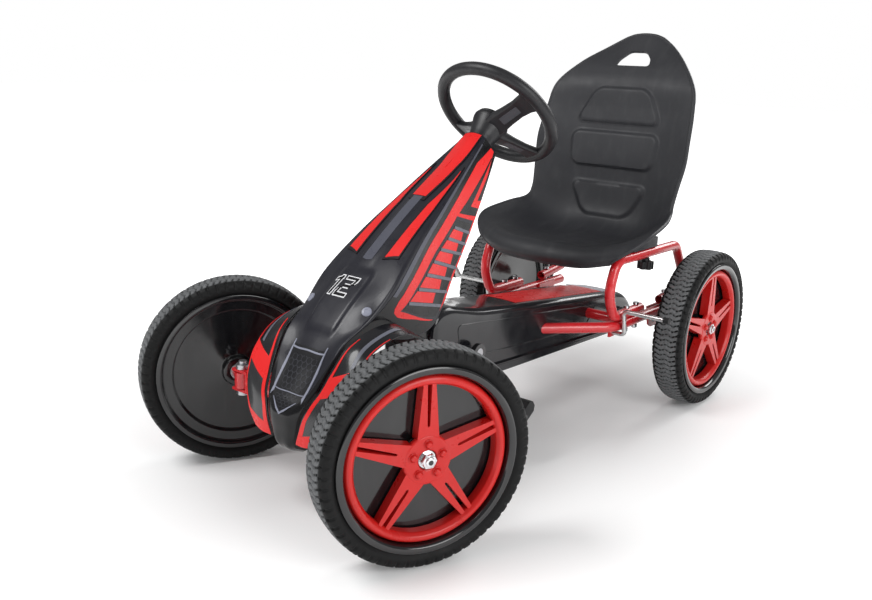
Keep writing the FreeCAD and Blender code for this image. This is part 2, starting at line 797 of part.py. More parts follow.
def cross_tube():
    """Joins the two side tubes and carries the rear end of the main tube."""
    inner = "side_x - side_tube - running"
    tube = ring(
        "side_tube", "side_tube - wall", f"2 * ({inner})", f"-({inner})",
        "front_axle_y + cross_y", "side_z", ALONG_X,
    )
    return cut(tube, swept_rod(main_tube_corners(), [60, 60], "main_tube"))


def strut_line():
    """Length and place of the strut under the upper holder."""
    foot = Vector(size("main_x"), behind(178), 150)
    up = Vector(0, behind(322), 446) - foot
    return up.Length, (foot.x, foot.y, foot.z, Rotation(Vector(0, 0, 1), up))


def column_strut():
    """The leaning tube from the central tube to the upper column holder."""
    length, here = strut_line()
    tube = ring("side_tube", "side_tube - wall", length, *here)
    holder = on_column(cylinder("column_radius + 7", 110, 0, 0, 0), UPPER_BUSH + 70)
    main = swept_rod(main_tube_corners(), [60, 60], "main_tube")
    return cut(tube, holder, main)


HOOP_CORNERS = ((694, 0), (592, 0), (568, 48), (589, 103), (822, 101), (880, 14), (772, 0))
HOOP_BENDS = (26, 52, 30, 26, 22)


def hoop_corners(side):
    low = size("hoop_low")
    return plane_path(side * size("side_x"), [(y, low + rise) for y, rise in HOOP_CORNERS])


def seat_hoop(side):
    """A bent tube; a slot along its top run lets the seat's clamp screw slide."""
    tube = bent_tube(hoop_corners(side), HOOP_BENDS, "hoop_tube")
    slot = DOC.addObject("Part::Box", "ClampSlot")
    for prop, formula in (("Length", "7"), ("Width", "76"), ("Height", "40")):
        slot.setExpression(prop, bound(formula))
    place(slot, side * size("side_x") - 3.5, behind(CLAMP_Y) - 38, "hoop_top - 20")
    holes = [cylinder(3.1, 30, side * size("side_x"), behind(y), "hoop_low - 15") for y in HOOP_BOLTS]
    return cut(tube, slot, *holes)


CLAMP_Y = 700
HOOP_BOLTS = (640, 676, 790)


def hoop_bolts():
    """Bolts through the hoops' low runs and the side tubes, each with its nut."""
    bolts = []
    top = "hoop_low + hoop_tube + 0.3"
    below = "side_z - side_tube - 5.3"
    for side in (1, -1):
        x = side * size("side_x")
        for y in HOOP_BOLTS:
            lift = 3 if y > 700 else 0
            head = cylinder(5.5, 4, x, behind(y), f"{top} + {lift}")
            shank = cylinder(3, "hoop_low + hoop_tube - side_z + side_tube + 9", x, behind(y), f"{below} - 2")
            nut = cylinder(5.5, 5, x, behind(y), below)
            bolts.append(fuse(head, shank, nut))
    return group(*bolts)


def axle_bracket(side):
    """A plate inboard of the side tube, with the bush hole for the rear axle."""
    body = new_body("AxleBracket")
    profile = [
        ("wheelbase - 30", "side_z + 8"),
        ("wheelbase + 30", "side_z + 8"),
        ("wheelbase + 20", "axle_height - 12"),
        ("wheelbase + 10", "axle_height - 18"),
        ("wheelbase - 10", "axle_height - 18"),
        ("wheelbase - 20", "axle_height - 12"),
    ]
    inner = "side_x - side_tube - 4.3"
    pad(body, outline(body, "YZ_Plane", profile, inner if side > 0 else f"-({inner}) - 4"), 4)
    cut_through(body, discs(body, "YZ_Plane", [("wheelbase", "axle_height", "10.1")]))
    return place(body)


def axle_bushes():
    """Flanged bushes in the brackets for the rear axle."""
    bushes = []
    for side, turn in ((1, ALONG_MINUS_X), (-1, ALONG_X)):
        start = f"{side} * (side_x - side_tube - 0.6)"
        here = (start, "front_axle_y + wheelbase", "axle_height", turn)
        flange_at = f"{side} * (side_x - side_tube - 4.6)"
        sleeve = cylinder(10, 16, *here)
        flange = cylinder(14, 4, flange_at, *here[1:])
        bushes.append(cut(fuse(sleeve, flange), cylinder("axle_radius + running", 20, *here)))
    return group(*bushes)


def brake_brackets():
    """Hanging ears under the side tubes in which the brake shaft turns."""
    ears = []
    for side in (1, -1):
        x = 123.2 * side - 2
        body = new_body("BrakeEar")
        profile = [
            ("brake_y - 9", "side_z + 3"),
            ("brake_y + 9", "side_z + 3"),
            ("brake_y + 9", "brake_z - 8"),
            ("brake_y - 9", "brake_z - 8"),
        ]
        pad(body, outline(body, "YZ_Plane", profile, x), 4)
        cut_through(body, discs(body, "YZ_Plane", [("brake_y", "brake_z", "brake_rod + running")]))
        tube = swept_rod(side_tube_corners(side), [70], "side_tube + running")
        ears.append(cut(place(body), tube))
    return group(*ears)


# Drive


def sprocket_radius(teeth):
    return size("chain_pitch") / (2 * math.sin(math.pi / size(teeth)))


def sprocket(teeth, hub_radius, bore, web_holes=0):
    """A toothed disc about its own Z axis, with a hub on both sides."""
    pitch = sprocket_radius(teeth)
    body = new_body("Sprocket")
    root = pitch - 4
    pad(body, discs(body, "XY_Plane", [(0, 0, root)]), "sprocket_thick", True)
    tooth = [(-4, root - 1), (4, root - 1), (1.6, pitch - 0.4), (-1.6, pitch - 0.4)]
    first = pad(body, outline(body, "XY_Plane", tooth), "sprocket_thick", True)
    around(body, first, int(size(teeth)))
    pad(body, discs(body, "XY_Plane", [(0, 0, hub_radius)]), 12, True)
    if web_holes:
        reach = (root + hub_radius) / 2
        hole = cut_through(body, discs(body, "XY_Plane", [(0, reach, (root - hub_radius) / 2 - 4)]))
        around(body, hole, web_holes)
    cut_through(body, discs(body, "XY_Plane", [(0, 0, bore)]))
    return body


def chain_loop():
    """The chain as one closed band round both sprockets, clear of their teeth."""
    front = Vector(0, behind(size("crank_y")), size("crank_z"))
    rear = Vector(0, behind(size("wheelbase")), size("axle_height"))
    front_radius = sprocket_radius("front_teeth")
    rear_radius = sprocket_radius("rear_teeth")
    outer = belt_wire(front, front_radius + 3.5, rear, rear_radius + 3.5)
    inner = belt_wire(front, front_radius + 0.6, rear, rear_radius + 0.6)
    across = Vector(size("chain_width"), 0, 0)
    band = Part.Face(outer).extrude(across).cut(Part.Face(inner).extrude(across))
    thing = DOC.addObject("Part::Feature", "Chain")
    thing.Shape = band
    thing.Placement = Placement(Vector(size("chain_x") - size("chain_width") / 2, 0, 0), Rotation())
    return thing


def belt_wire(first, first_radius, second, second_radius):
    """Two arcs and their outer tangents, in the YZ plane."""
    along = (second - first).normalize()
    across = Vector(0, -along.z, along.y)
    sine = (first_radius - second_radius) / (second - first).Length
    cosine = math.sqrt(1 - sine * sine)
    points = []
    for sign in (1, -1):
        normal = along * sine + across * (cosine * sign)
        points.append((first + normal * first_radius, second + normal * second_radius))
    (top_first, top_second), (low_first, low_second) = points
    return Part.Wire(
        [
            Part.LineSegment(top_first, top_second).toShape(),
            Part.Arc(top_second, second + along * second_radius, low_second).toShape(),
            Part.LineSegment(low_second, low_first).toShape(),
            Part.Arc(low_first, first - along * first_radius, top_first).toShape(),
        ]
    )


def build_drive():
    crank = ("front_axle_y + crank_y", "crank_z")
    half = "arm_x + arm_thick"
    sub_part("crank_axle", cylinder("crank_shaft", f"2 * ({half})", f"-({half})", *crank, ALONG_X))
    shell_bushes = [
        ring("15 - running", "crank_shaft + running", 12, x, *crank, ALONG_X) for x in (-38, 0)
    ]
    sub_part("crank_bushes", group(*shell_bushes))
    chainwheel = sprocket("front_teeth", 13, "crank_shaft + running", 5)
    sub_part("chainwheel", place(chainwheel, "chain_x", *crank, ALONG_X))
    rear = ("front_axle_y + wheelbase", "axle_height")
    small = sprocket("rear_teeth", 12, "axle_radius + running")
    sub_part("rear_sprocket", place(small, "chain_x", *rear, ALONG_X))
    sub_part("chain", chain_loop())
    sub_part("crank_arms", group(crank_arm(1), crank_arm(-1)))
    sub_part("pedal_left", pedal(1))
    sub_part("pedal_right", pedal(-1))
    reach = "rear_track_half + hub_outer + nut_height + 6"
    sub_part("rear_axle", cylinder("axle_radius", f"2 * ({reach})", f"-({reach})", *rear, ALONG_X))
    collars = [
        ring("axle_radius + 3.5", "axle_radius + running", 6, x, *rear, ALONG_X)
        for x in ("rear_track_half + hub_inner - 9.3", "-rear_track_half - hub_inner + 3.3")
    ]
    sub_part("axle_collars", group(*collars))


def crank_turn(side):
    """Rotation that points a body's +Y along that side's crank arm."""
    angle = size("crank_angle") + (0 if side > 0 else 180)
    return Rotation(Vector(1, 0, 0), angle)


def crank_arm(side):
    """A flat arm with a round eye on the crank axle and the pedal's spindle at its end."""
    start = "arm_x" if side > 0 else "-arm_x - arm_thick"
    bar = DOC.addObject("Part::Box", "CrankBar")
    for prop, formula in (("Length", "arm_thick"), ("Width", "crank_length"), ("Height", "2 * arm_half - 4")):
        bar.setExpression(prop, bound(formula))
    place(bar, start, 0, "2 - arm_half")
    eye = cylinder("arm_half + 3", "arm_thick", start, 0, 0, ALONG_X)
    end = cylinder("arm_half", "arm_thick", start, "crank_length", 0, ALONG_X)
    turn = ALONG_X if side > 0 else ALONG_MINUS_X
    spindle_end = "pedal_x + pedal_width + 3 - arm_x"
    spindle = cylinder("spindle_radius", spindle_end, f"{side} * arm_x", "crank_length", 0, turn)
    bore = cylinder("crank_shaft + running", 400, -200, 0, 0, ALONG_X)
    arm = cut(fuse(bar, eye, end, spindle), bore)
    return place(arm, 0, "front_axle_y + crank_y", "crank_z", crank_turn(side))


def pedal(side):
    """A block pedal with raised treads, turning on the crank arm's spindle."""
    body = new_body("Pedal")
    half = "pedal_length / 2"
    top = "pedal_thick / 2"
    profile = [
        (f"-{half}", f"-{top} + 6"),
        (f"-{half} + 7", f"-{top}"),
        (f"{half} - 7", f"-{top}"),
        (half, f"-{top} + 6"),
        (half, f"{top} - 6"),
        (f"{half} - 7", top),
        (f"-{half} + 7", top),
        (f"-{half}", f"{top} - 6"),
    ]
    pad(body, outline(body, "YZ_Plane", profile), "pedal_width")
    bore = "spindle_radius + running"
    cut_through(body, discs(body, "YZ_Plane", [(0, 0, bore)]))
    start = "pedal_x" if side > 0 else "-pedal_x - pedal_width"
    angle = math.radians(size("crank_angle")) + (0 if side > 0 else math.pi)
    y = behind(size("crank_y")) + size("crank_length") * math.cos(angle)
    z = size("crank_z") + size("crank_length") * math.sin(angle)
    return place(body, start, y, z, Rotation(Vector(1, 0, 0), size("pedal_tilt")))


# Brake


def build_brake():
    x_arm = size("brake_arm_x")
    x_end = size("brake_end_x")
    y_shaft = behind(size("brake_y"))
    y_bar = behind(size("brake_bar_y"))
    z_shaft = size("brake_z")
    z_bar = size("brake_bar_z")
    corners = [
        Vector(-x_end, y_bar, z_bar),
        Vector(-x_arm, y_bar, z_bar),
        Vector(-x_arm, y_shaft, z_shaft),
        Vector(x_arm, y_shaft, z_shaft),
        Vector(x_arm, y_bar, z_bar),
        Vector(x_end, y_bar, z_bar),
    ]
    lever, grip = brake_lever()
    sub_part("brake_bar", fuse(swept_rod(corners, [8, 8, 8, 8], "brake_rod"), lever))
    sub_part("brake_grip_and_caps", group(grip, bar_cap(1), bar_cap(-1)))


def bar_cap(side):
    """A plastic cap pushed on the end of the brake bar."""
    turn = ALONG_X if side > 0 else ALONG_MINUS_X
    here = ("front_axle_y + brake_bar_y", "brake_bar_z", turn)
    shell = cylinder("brake_rod + 1.5", 10, f"{side} * (brake_end_x - 8)", *here)
    return cut(shell, cylinder("brake_rod + running", 8.1, f"{side} * (brake_end_x - 8)", *here))


def brake_lever():
    """A rod welded to the brake bar's right end, leaning forward to the driver's hand, and its grip."""
    x = size("lever_x")
    foot = Vector(x, behind(size("brake_bar_y")), size("brake_bar_z"))
    knee = foot + Vector(0, -28, 40)
    top = foot + Vector(8, -104, 112)
    rod = swept_rod([foot, knee, top], [60], "brake_rod + 1")
    away = (top - knee).normalize()
    grip_start = top - away * 88
    heading = Rotation(Vector(0, 0, 1), away)
    grip = cylinder("brake_rod + 7", 96, grip_start.x, grip_start.y, grip_start.z, heading)
    hollow = cylinder("brake_rod + 1.05", 88.2, grip_start.x, grip_start.y, grip_start.z, heading)
    return rod, cut(grip, hollow)


# Chain guard: two moulded half shells with a flanged joint between them

GUARD_TOP = (
    (188, 212), (192, 238), (208, 252), (234, 254), (309, 235),
    (421, 221), (709, 191), (789, 177), (826, 150),
)
GUARD_BOTTOM = ((828, 101), (750, 104), (373, 116), (188, 130))


def inset(corners, depth):
    """The same polygon with every side moved inwards; corners run clockwise."""
    moved = []
    count = len(corners)
    for i in range(count):
        before, here, after = (Vector(*corners[(i + k) % count], 0) for k in (-1, 0, 1))
        into = (here - before).normalize()
        out = (after - here).normalize()
        middle = (Vector(into.y, -into.x, 0) + Vector(out.y, -out.x, 0)).normalize()
        reach = depth / middle.dot(Vector(out.y, -out.x, 0))
        moved.append((here.x + middle.x * reach, here.y + middle.y * reach))
    return moved


def guard_split(y, lift=0):
    """Height of the joint between the guard shells."""
    start = size("guard_front")
    share = (y - start) / (size("guard_rear") - start)
    return size("split_front") + share * (size("split_rear") - size("split_front")) + lift


def half_shell(corners, open_below):
    """A hollow half of the guard: its joint side is left open, with a flange round it."""
    wall = size("guard_wall")
    outer = new_body("GuardOuter")
    pad(outer, outline(outer, "YZ_Plane", corners), "2 * guard_half", True)
    inner = new_body("GuardInner")
    cavity = inset(corners, wall)
    drop = -20 if open_below else 20
    for i in (0, -1):
        cavity[i] = (cavity[i][0], cavity[i][1] + drop)
    pad(inner, outline(inner, "YZ_Plane", cavity), "2 * (guard_half - guard_wall)", True)
    return cut(place(outer), place(inner)), place(flange_strip(2 if open_below else -2))


def flange_strip(thickness):
    """A flat strip outside the guard walls, along the joint."""
    front = size("guard_front")
    rear = size("guard_rear")
    gap = 0.1 if thickness > 0 else -0.1
    strip = new_body("Flange")
    corners = [
        (front, guard_split(front, gap)),
        (front, guard_split(front, gap + thickness)),
        (rear, guard_split(rear, gap + thickness)),
        (rear, guard_split(rear, gap)),
    ]
    pad(strip, outline(strip, "YZ_Plane", corners), "2 * flange_half", True)
    hole = [
        (front + 3, guard_split(front, -9)),
        (front + 3, guard_split(front, 9)),
        (rear - 3, guard_split(rear, 9)),
        (rear - 3, guard_split(rear, -9)),
    ]
    void = new_body("FlangeHole")
    pad(void, outline(void, "YZ_Plane", hole), "2 * (guard_half - guard_wall)", True)
    return cut(strip, void)


def guard_openings():
    """Everything that passes through the guard's walls, a little larger than what passes."""
    across = ("-100", "front_axle_y + crank_y", "crank_z", ALONG_X)
    tools = [cylinder("crank_shaft + 3", 200, *across)]
    tools.append(cylinder("axle_radius + 6", 200, "-100", "front_axle_y + wheelbase", "axle_height", ALONG_X))
    tools.append(cylinder("brake_rod + 3", 200, "-100", "front_axle_y + brake_y", "brake_z", ALONG_X))
    tools.append(cylinder("side_tube + 1.5", 200, "-100", "front_axle_y + cross_y", "side_z", ALONG_X))
    tools.append(swept_rod(main_tube_corners(), [60, 60], "main_tube + 1.5"))
    length, here = strut_line()
    tools.append(cylinder("side_tube + 2", length, *here))
    tools += [swept_rod(side_tube_corners(side), [70], "side_tube + 1") for side in (1, -1)]
    return tools


def build_guard():
    front = size("guard_front")
    rear = size("guard_rear")
    upper = [(front, guard_split(front, 0.1)), *GUARD_TOP, (rear, guard_split(rear, 0.1))]
    lower = [(rear, guard_split(rear, -0.1)), *GUARD_BOTTOM, (front, guard_split(front, -0.1))]
    for name, corners, open_below in (("upper", upper, True), ("lower", lower, False)):
        shell, strip = half_shell(corners, open_below)
        sub_part(f"chain_guard_{name}", cut(fuse(shell, strip), *guard_openings()))


# Moulded panels: a skin over a grid of measured points, with an even wall behind it


def grid_normals(rows):
    """An outward direction for every point of the grid."""
    last_row = len(rows) - 1
    last = len(rows[0]) - 1
    normals = []
    for i, row in enumerate(rows):
        line = []
        for j in range(last + 1):
            along = rows[min(i + 1, last_row)][j] - rows[max(i - 1, 0)][j]
            across = row[min(j + 1, last)] - row[max(j - 1, 0)]
            line.append(along.cross(across).normalize())
        normals.append(line)
    return normals


def triangle(a, b, c):
    return Part.Face(Part.makePolygon([a, b, c, a]))


def skin(rows):
    """Triangles over the grid."""
    faces = []
    for low, high in zip(rows, rows[1:]):
        for j in range(len(low) - 1):
            a, b, c, d = low[j], low[j + 1], high[j + 1], high[j]
            faces += [triangle(a, b, c), triangle(a, c, d)]
    return faces


def edge_band(outer, inner):
    """Triangles that close the wall along one edge of the grid."""
    faces = []
    for a, b, c, d in zip(outer, outer[1:], inner[1:], inner):
        faces += [triangle(a, b, c), triangle(a, c, d)]
    return faces


def moulded(rows, wall):
    """A solid panel: the grid is its outer face and the wall lies behind it."""
    normals = grid_normals(rows)
    back = [[p - n * wall for p, n in zip(row, line)] for row, line in zip(rows, normals)]
    faces = skin(rows) + skin(back)
    faces += edge_band(rows[0], back[0]) + edge_band(rows[-1], back[-1])
    for j in (0, -1):
        faces += edge_band([row[j] for row in rows], [row[j] for row in back])
    shell = Part.makeShell(faces)
    shell.sewShape()
    solid = Part.makeSolid(shell)
    if solid.Volume < 0:
        solid.reverse()
    thing = DOC.addObject("Part::Feature", "Panel")
    thing.Shape = solid
    return thing


def mirrored_row(half):
    """A full row of the grid from its left half, which runs from the edge to the centre line."""
    left = [Vector(x, behind(y), z) for x, y, z in half]
    return left + [Vector(-p.x, p.y, p.z) for p in reversed(left[:-1])]


# Nose cover: each row is (rear edge, ridge, beside the middle, middle), from the chin up
NOSE = (
    ((10, -24, 92), (12, -32, 92), (6, -34, 89), (0, -34, 89)),
    ((18, -48, 106), (17, -58, 107), (10, -62, 105), (0, -62, 105)),
    ((25, -52, 130), (24, -63, 130), (14, -67, 130), (0, -68, 130)),
    ((30, -50, 151), (29, -63, 151), (16, -69, 152), (0, -70, 152)),
    ((37, -43, 171), (36, -56, 171), (22, -61, 168), (0, -62, 168)),
    ((46, -28, 188), (44, -45, 189), (26, -50, 181), (0, -51, 181)),
    ((53, -8, 211), (50, -29, 216), (27, -30, 207), (0, -31, 207)),
    ((58, 26, 234), (56, -4, 249), (30, -9, 238), (0, -10, 238)),
    ((59, 75, 238), (65, 37, 276), (38, 31, 282), (0, 30, 283)),
    ((59, 135, 228), (70, 72, 309), (42, 74, 316), (0, 72, 318)),
    ((57, 188, 242), (66, 102, 336), (41, 108, 346), (0, 104, 345)),
    ((49, 236, 301), (57, 151, 374), (36, 156, 382), (0, 154, 383)),
    ((42, 281, 357), (49, 199, 406), (31, 206, 415), (0, 205, 418)),
    ((33, 330, 424), (36, 268, 453), (24, 277, 458), (0, 276, 461)),
    ((28, 362, 478), (20, 344, 503), (13, 341, 507), (0, 340, 509)),
)

# Side wing of the nose: each row is (inner edge, middle, outer edge), from the bottom round to the back
WING = (
    ((23, -62, 113), (42, -63, 114), (60, -60, 118)),
    ((29, -63, 132), (53, -62, 134), (76, -57, 137)),
    ((34, -61, 152), (61, -59, 153), (88, -51, 154)),
    ((42, -55, 172), (69, -53, 172), (95, -46, 172)),
    ((49, -43, 190), (74, -43, 190), (98, -40, 190)),
    ((55, -27, 217), (78, -28, 217), (100, -26, 216)),
    ((62, -4, 247), (81, -3, 247), (100, 2, 242)),
    ((71, 36, 266), (86, 38, 262), (100, 40, 255)),
    ((74, 74, 266), (87, 75, 262), (100, 76, 255)),
    ((72, 112, 246), (86, 113, 244), (100, 115, 240)),
)

# Seat: each row of the sitting face is (side edge, beside the middle, middle), from the front lip up
SEAT = (
    ((132, 568, 281), (80, 553, 270), (0, 548, 268)),
    ((150, 570, 297), (85, 545, 287), (0, 538, 285)),
    ((172, 592, 318), (90, 563, 306), (0, 556, 305)),
    ((180, 625, 334), (95, 610, 303), (0, 605, 304)),
    ((172, 690, 346), (95, 680, 301), (0, 680, 302)),
    ((158, 735, 354), (90, 735, 306), (0, 738, 306)),
    ((154, 748, 372), (82, 768, 333), (0, 774, 333)),
    ((157, 757, 404), (80, 783, 391), (0, 786, 391)),
    ((162, 766, 442), (82, 787, 440), (0, 789, 440)),
    ((162, 772, 480), (85, 796, 489), (0, 798, 489)),
    ((157, 790, 530), (82, 806, 532), (0, 807, 532)),
    ((147, 806, 577), (78, 814, 578), (0, 816, 578)),
    ((112, 838, 618), (62, 833, 608), (0, 834, 608)),
    ((72, 872, 648), (38, 862, 640), (0, 862, 640)),
    ((33, 890, 674), (18, 884, 668), (0, 884, 667)),
)


def build_body_panels():
    wall = size("guard_wall")
    nose = [mirrored_row(row) for row in NOSE]
    hub_room = on_column(cylinder("column_radius + 14", 60, 0, 0, 0), 90)
    sub_part("nose_cover", cut(moulded(nose, wall), hub_room))
    for name, side in (("left", 1), ("right", -1)):
        rows = [[Vector(side * x, behind(y), z) for x, y, z in row[::side]] for row in WING]
        sub_part(f"side_wing_{name}", moulded([row[::-1] for row in rows], wall))


def build_seat():
    rows = [mirrored_row(row) for row in SEAT]
    shell = moulded(rows, size("seat_wall"))
    above = moulded(rows, -22)
    feet = [cut(seat_foot(side), above) for side in (1, -1)]
    handle = DOC.addObject("Part::Box", "HandleSlot")
    for prop, formula in (("Length", "handle_slot"), ("Width", "17"), ("Height", "80")):
        handle.setExpression(prop, bound(formula))
    lean = Rotation(Vector(1, 0, 0), 45)
    centre = Vector(0, behind(849), 625)
    corner = lean.multVec(Vector(-size("handle_slot") / 2, -8.5, -40))
    place(handle, centre.x + corner.x, centre.y + corner.y, centre.z + corner.z, lean)
    sub_part("seat_shell", cut(fuse(shell, *feet), handle))
    for name, side in (("left", 1), ("right", -1)):
        sub_part(f"seat_knob_{name}", seat_knob(side))


def seat_foot(side):
    """A rib under the seat that slides on the hoop, with the hole for the clamp screw."""
    foot = DOC.addObject("Part::Box", "SeatFoot")
    low = "hoop_top + hoop_tube + 0.4"
    for prop, formula in (("Length", "14"), ("Width", "90"), ("Height", f"330 - ({low})")):
        foot.setExpression(prop, bound(formula))
    x = side * size("side_x")
    place(foot, x - 7, behind(640), low)
    hole = cylinder("clamp_screw + 0.3", 24, x, behind(CLAMP_Y), "hoop_top")
    return cut(foot, hole)


def seat_knob(side):
    """A lobed knob under the hoop's top run; its screw goes up through the slot into the seat."""
    body = new_body("Knob")
    pad(body, discs(body, "XY_Plane", [(0, 0, "knob_radius - 3")]), 14)
    lobe = pad(body, discs(body, "XY_Plane", [(0, "knob_radius - 5", 5)]), 14)
    around(body, lobe, 6)
    pad(body, discs(body, "XY_Plane", [(0, 0, 7)]), 20)
    pad(body, discs(body, "XY_Plane", [(0, 0, "clamp_screw")]), 50)
    return place(body, side * size("side_x"), behind(CLAMP_Y), "hoop_top - hoop_tube - 21")


def check_and_write():
    DOC.recompute()
    broken = [o.Label for o in DOC.Objects if {"Invalid", "Error"} & set(o.State)]
    if broken:
        raise RuntimeError(f"Broken features: {broken}")
    os.makedirs("parts", exist_ok=True)
    for thing in SUB_PARTS:
        shape = thing.Shape
        if shape.isNull() or not shape.isValid():
            raise RuntimeError(f"{thing.Label} has no valid shape")
        shape.exportStep(f"parts/{thing.Label}.step")


build_wheels()
build_front_axle()
build_steering()
build_frame()
build_drive()
build_brake()
build_guard()
build_body_panels()
build_seat()
check_and_write()
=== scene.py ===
"""Pedal go kart: the visible model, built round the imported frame."""

import json
import math
import bmesh
import bpy
import numpy as np
from mathutils import Matrix, Vector


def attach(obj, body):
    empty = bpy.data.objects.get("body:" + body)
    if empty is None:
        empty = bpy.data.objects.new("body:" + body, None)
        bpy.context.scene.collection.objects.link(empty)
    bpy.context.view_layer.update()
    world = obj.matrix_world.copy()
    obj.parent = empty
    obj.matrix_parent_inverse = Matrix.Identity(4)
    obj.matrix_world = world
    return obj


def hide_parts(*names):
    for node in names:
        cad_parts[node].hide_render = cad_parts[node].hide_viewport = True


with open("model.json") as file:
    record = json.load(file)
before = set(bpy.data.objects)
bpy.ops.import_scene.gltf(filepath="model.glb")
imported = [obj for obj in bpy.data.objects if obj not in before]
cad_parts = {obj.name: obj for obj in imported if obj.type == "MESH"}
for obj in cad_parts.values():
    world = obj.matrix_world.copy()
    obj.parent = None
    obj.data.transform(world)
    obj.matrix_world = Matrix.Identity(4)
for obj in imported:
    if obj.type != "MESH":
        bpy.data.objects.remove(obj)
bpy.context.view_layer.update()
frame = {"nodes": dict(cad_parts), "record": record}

# Every measured place below is in millimetres: X to the driver's left, Y behind the front axle,
# Z above the ground. at() carries it into the frame, which is in metres.

MM = 0.001
AXLE_Y = -380
HUB_HEIGHT = 145
WHEELBASE = 777


def at(x, y, z):
    return Vector((x, y + AXLE_Y, z)) * MM


# ---------------------------------------------------------------- camera, light and floor


CAMERA_LENS = 38.58
CAMERA_PLACE = (0.89453, -1.23027, 0.63026)
# Radians: the heading from +Y, the tilt above level and the roll
CAMERA_TURN = (0.679450447, -0.260532536, 0.0329058836)


def add_camera():
    data = bpy.data.cameras.new("Camera")
    data.sensor_width = 36
    data.lens = CAMERA_LENS
    yaw, pitch, roll = CAMERA_TURN
    forward = Vector(
        (-math.sin(yaw) * math.cos(pitch), math.cos(yaw) * math.cos(pitch), math.sin(pitch))
    )
    right = Vector((math.cos(yaw), math.sin(yaw), 0))
    up = right.cross(forward)
    tilted_right = right * math.cos(roll) + up * math.sin(roll)
    tilted_up = up * math.cos(roll) - right * math.sin(roll)
    camera = bpy.data.objects.new("Camera", data)
    turn = Matrix((tilted_right, tilted_up, -forward)).transposed().to_4x4()
    camera.matrix_world = Matrix.Translation(CAMERA_PLACE) @ turn
    bpy.context.scene.collection.objects.link(camera)
    bpy.context.scene.camera = camera


def add_area_light(name, place, target, power, width):
    data = bpy.data.lights.new(name, "AREA")
    data.energy = power
    data.shape = "DISK"
    data.size = width
    light = bpy.data.objects.new(name, data)
    heading = (Vector(target) - Vector(place)).to_track_quat("-Z", "Y")
    light.matrix_world = Matrix.Translation(place) @ heading.to_matrix().to_4x4()
    bpy.context.scene.collection.objects.link(light)


WORLD_LIGHT = 0.34
FLOOR_HALF = 12


def add_world():
    """White surroundings: full white behind the object, dimmer where they only light it."""
    world = bpy.data.worlds.new("Studio")
    world.use_nodes = True
    nodes = world.node_tree.nodes
    background = nodes["Background"]
    background.inputs["Color"].default_value = (1, 1, 1, 1)
    seen = nodes.new("ShaderNodeLightPath").outputs["Is Camera Ray"]
    strength = nodes.new("ShaderNodeMapRange")
    strength.inputs["To Min"].default_value = WORLD_LIGHT
    strength.inputs["To Max"].default_value = 1.0
    world.node_tree.links.new(seen, strength.inputs["Value"])
    world.node_tree.links.new(strength.outputs["Result"], background.inputs["Strength"])
    bpy.context.scene.world = world
    bpy.context.scene.view_settings.view_transform = "Standard"


def add_studio():
    target = (0, 0.05, 0.25)
    add_area_light("KeyLight", (-0.9, -1.6, 2.3), target, 46, 1.4)
    add_area_light("FillLight", (2.3, -0.5, 1.3), target, 34, 1.6)
    add_area_light("BackLight", (0.4, 2.4, 1.8), target, 34, 1.5)
    add_world()
    mesh = bpy.data.meshes.new("Floor")
    half = FLOOR_HALF
    corners = [(-half, -half, 0), (half, -half, 0), (half, half, 0), (-half, half, 0)]
    mesh.from_pydata(corners, [], [(0, 1, 2, 3)])
    floor = bpy.data.objects.new("Floor", mesh)
    bpy.context.scene.collection.objects.link(floor)
    floor.data.materials.append(floor_material())


# ---------------------------------------------------------------- materials


class Look:
    """A material with its node tree, and short ways to add nodes."""

    def __init__(self, name):
        self.material = bpy.data.materials.new(name)
        self.material.use_nodes = True
        self.tree = self.material.node_tree
        self.shader = self.tree.nodes["Principled BSDF"]
        self.place = self.add("ShaderNodeTexCoord").outputs["Object"]

    def add(self, kind, inputs=(), **settings):
        node = self.tree.nodes.new(kind)
        for key, value in settings.items():
            setattr(node, key, value)
        for key, value in dict(inputs).items():
            if isinstance(value, bpy.types.NodeSocket):
                self.tree.links.new(value, node.inputs[key])
            else:
                node.inputs[key].default_value = value
        return node

    def set(self, **values):
        for key, value in values.items():
            socket = self.shader.inputs[key.replace("_", " ")]
            if isinstance(value, bpy.types.NodeSocket):
                self.tree.links.new(value, socket)
            else:
                socket.default_value = value
        return self

    def noise(self, scale, detail=3, roughness=0.55, place=None):
        inputs = {"Vector": place or self.place, "Scale": scale, "Detail": detail, "Roughness": roughness}
        return self.add("ShaderNodeTexNoise", inputs).outputs["Fac"]

    def stretched(self, sx, sy, sz):
        node = self.add("ShaderNodeMapping", {"Vector": self.place, "Scale": (sx, sy, sz)})
        return node.outputs["Vector"]

    def span(self, fac, low, high, start=0.0, end=1.0):
        """The factor's stretch from start to end becomes low to high."""
        inputs = {"Value": fac, "From Min": start, "From Max": end, "To Min": low, "To Max": high}
        return self.add("ShaderNodeMapRange", inputs).outputs["Result"]

    def maths(self, operation, *values):
        return self.add("ShaderNodeMath", dict(enumerate(values)), operation=operation).outputs[0]

    def blend(self, fac, first, second):
        node = self.add("ShaderNodeMix", data_type="RGBA")
        for socket, value in ((node.inputs[0], fac), (node.inputs[6], first), (node.inputs[7], second)):
            if isinstance(value, bpy.types.NodeSocket):
                self.tree.links.new(value, socket)
            else:
                socket.default_value = value if isinstance(value, float) else (*value, 1)
        return node.outputs[2]

    def bump(self, height, distance, strength=1.0, under=None):
        inputs = {"Height": height, "Distance": distance, "Strength": strength}
        if under is not None:
            inputs["Normal"] = under
        return self.add("ShaderNodeBump", inputs).outputs["Normal"]


def tone(colour, share):
    return tuple(channel * share for channel in colour)


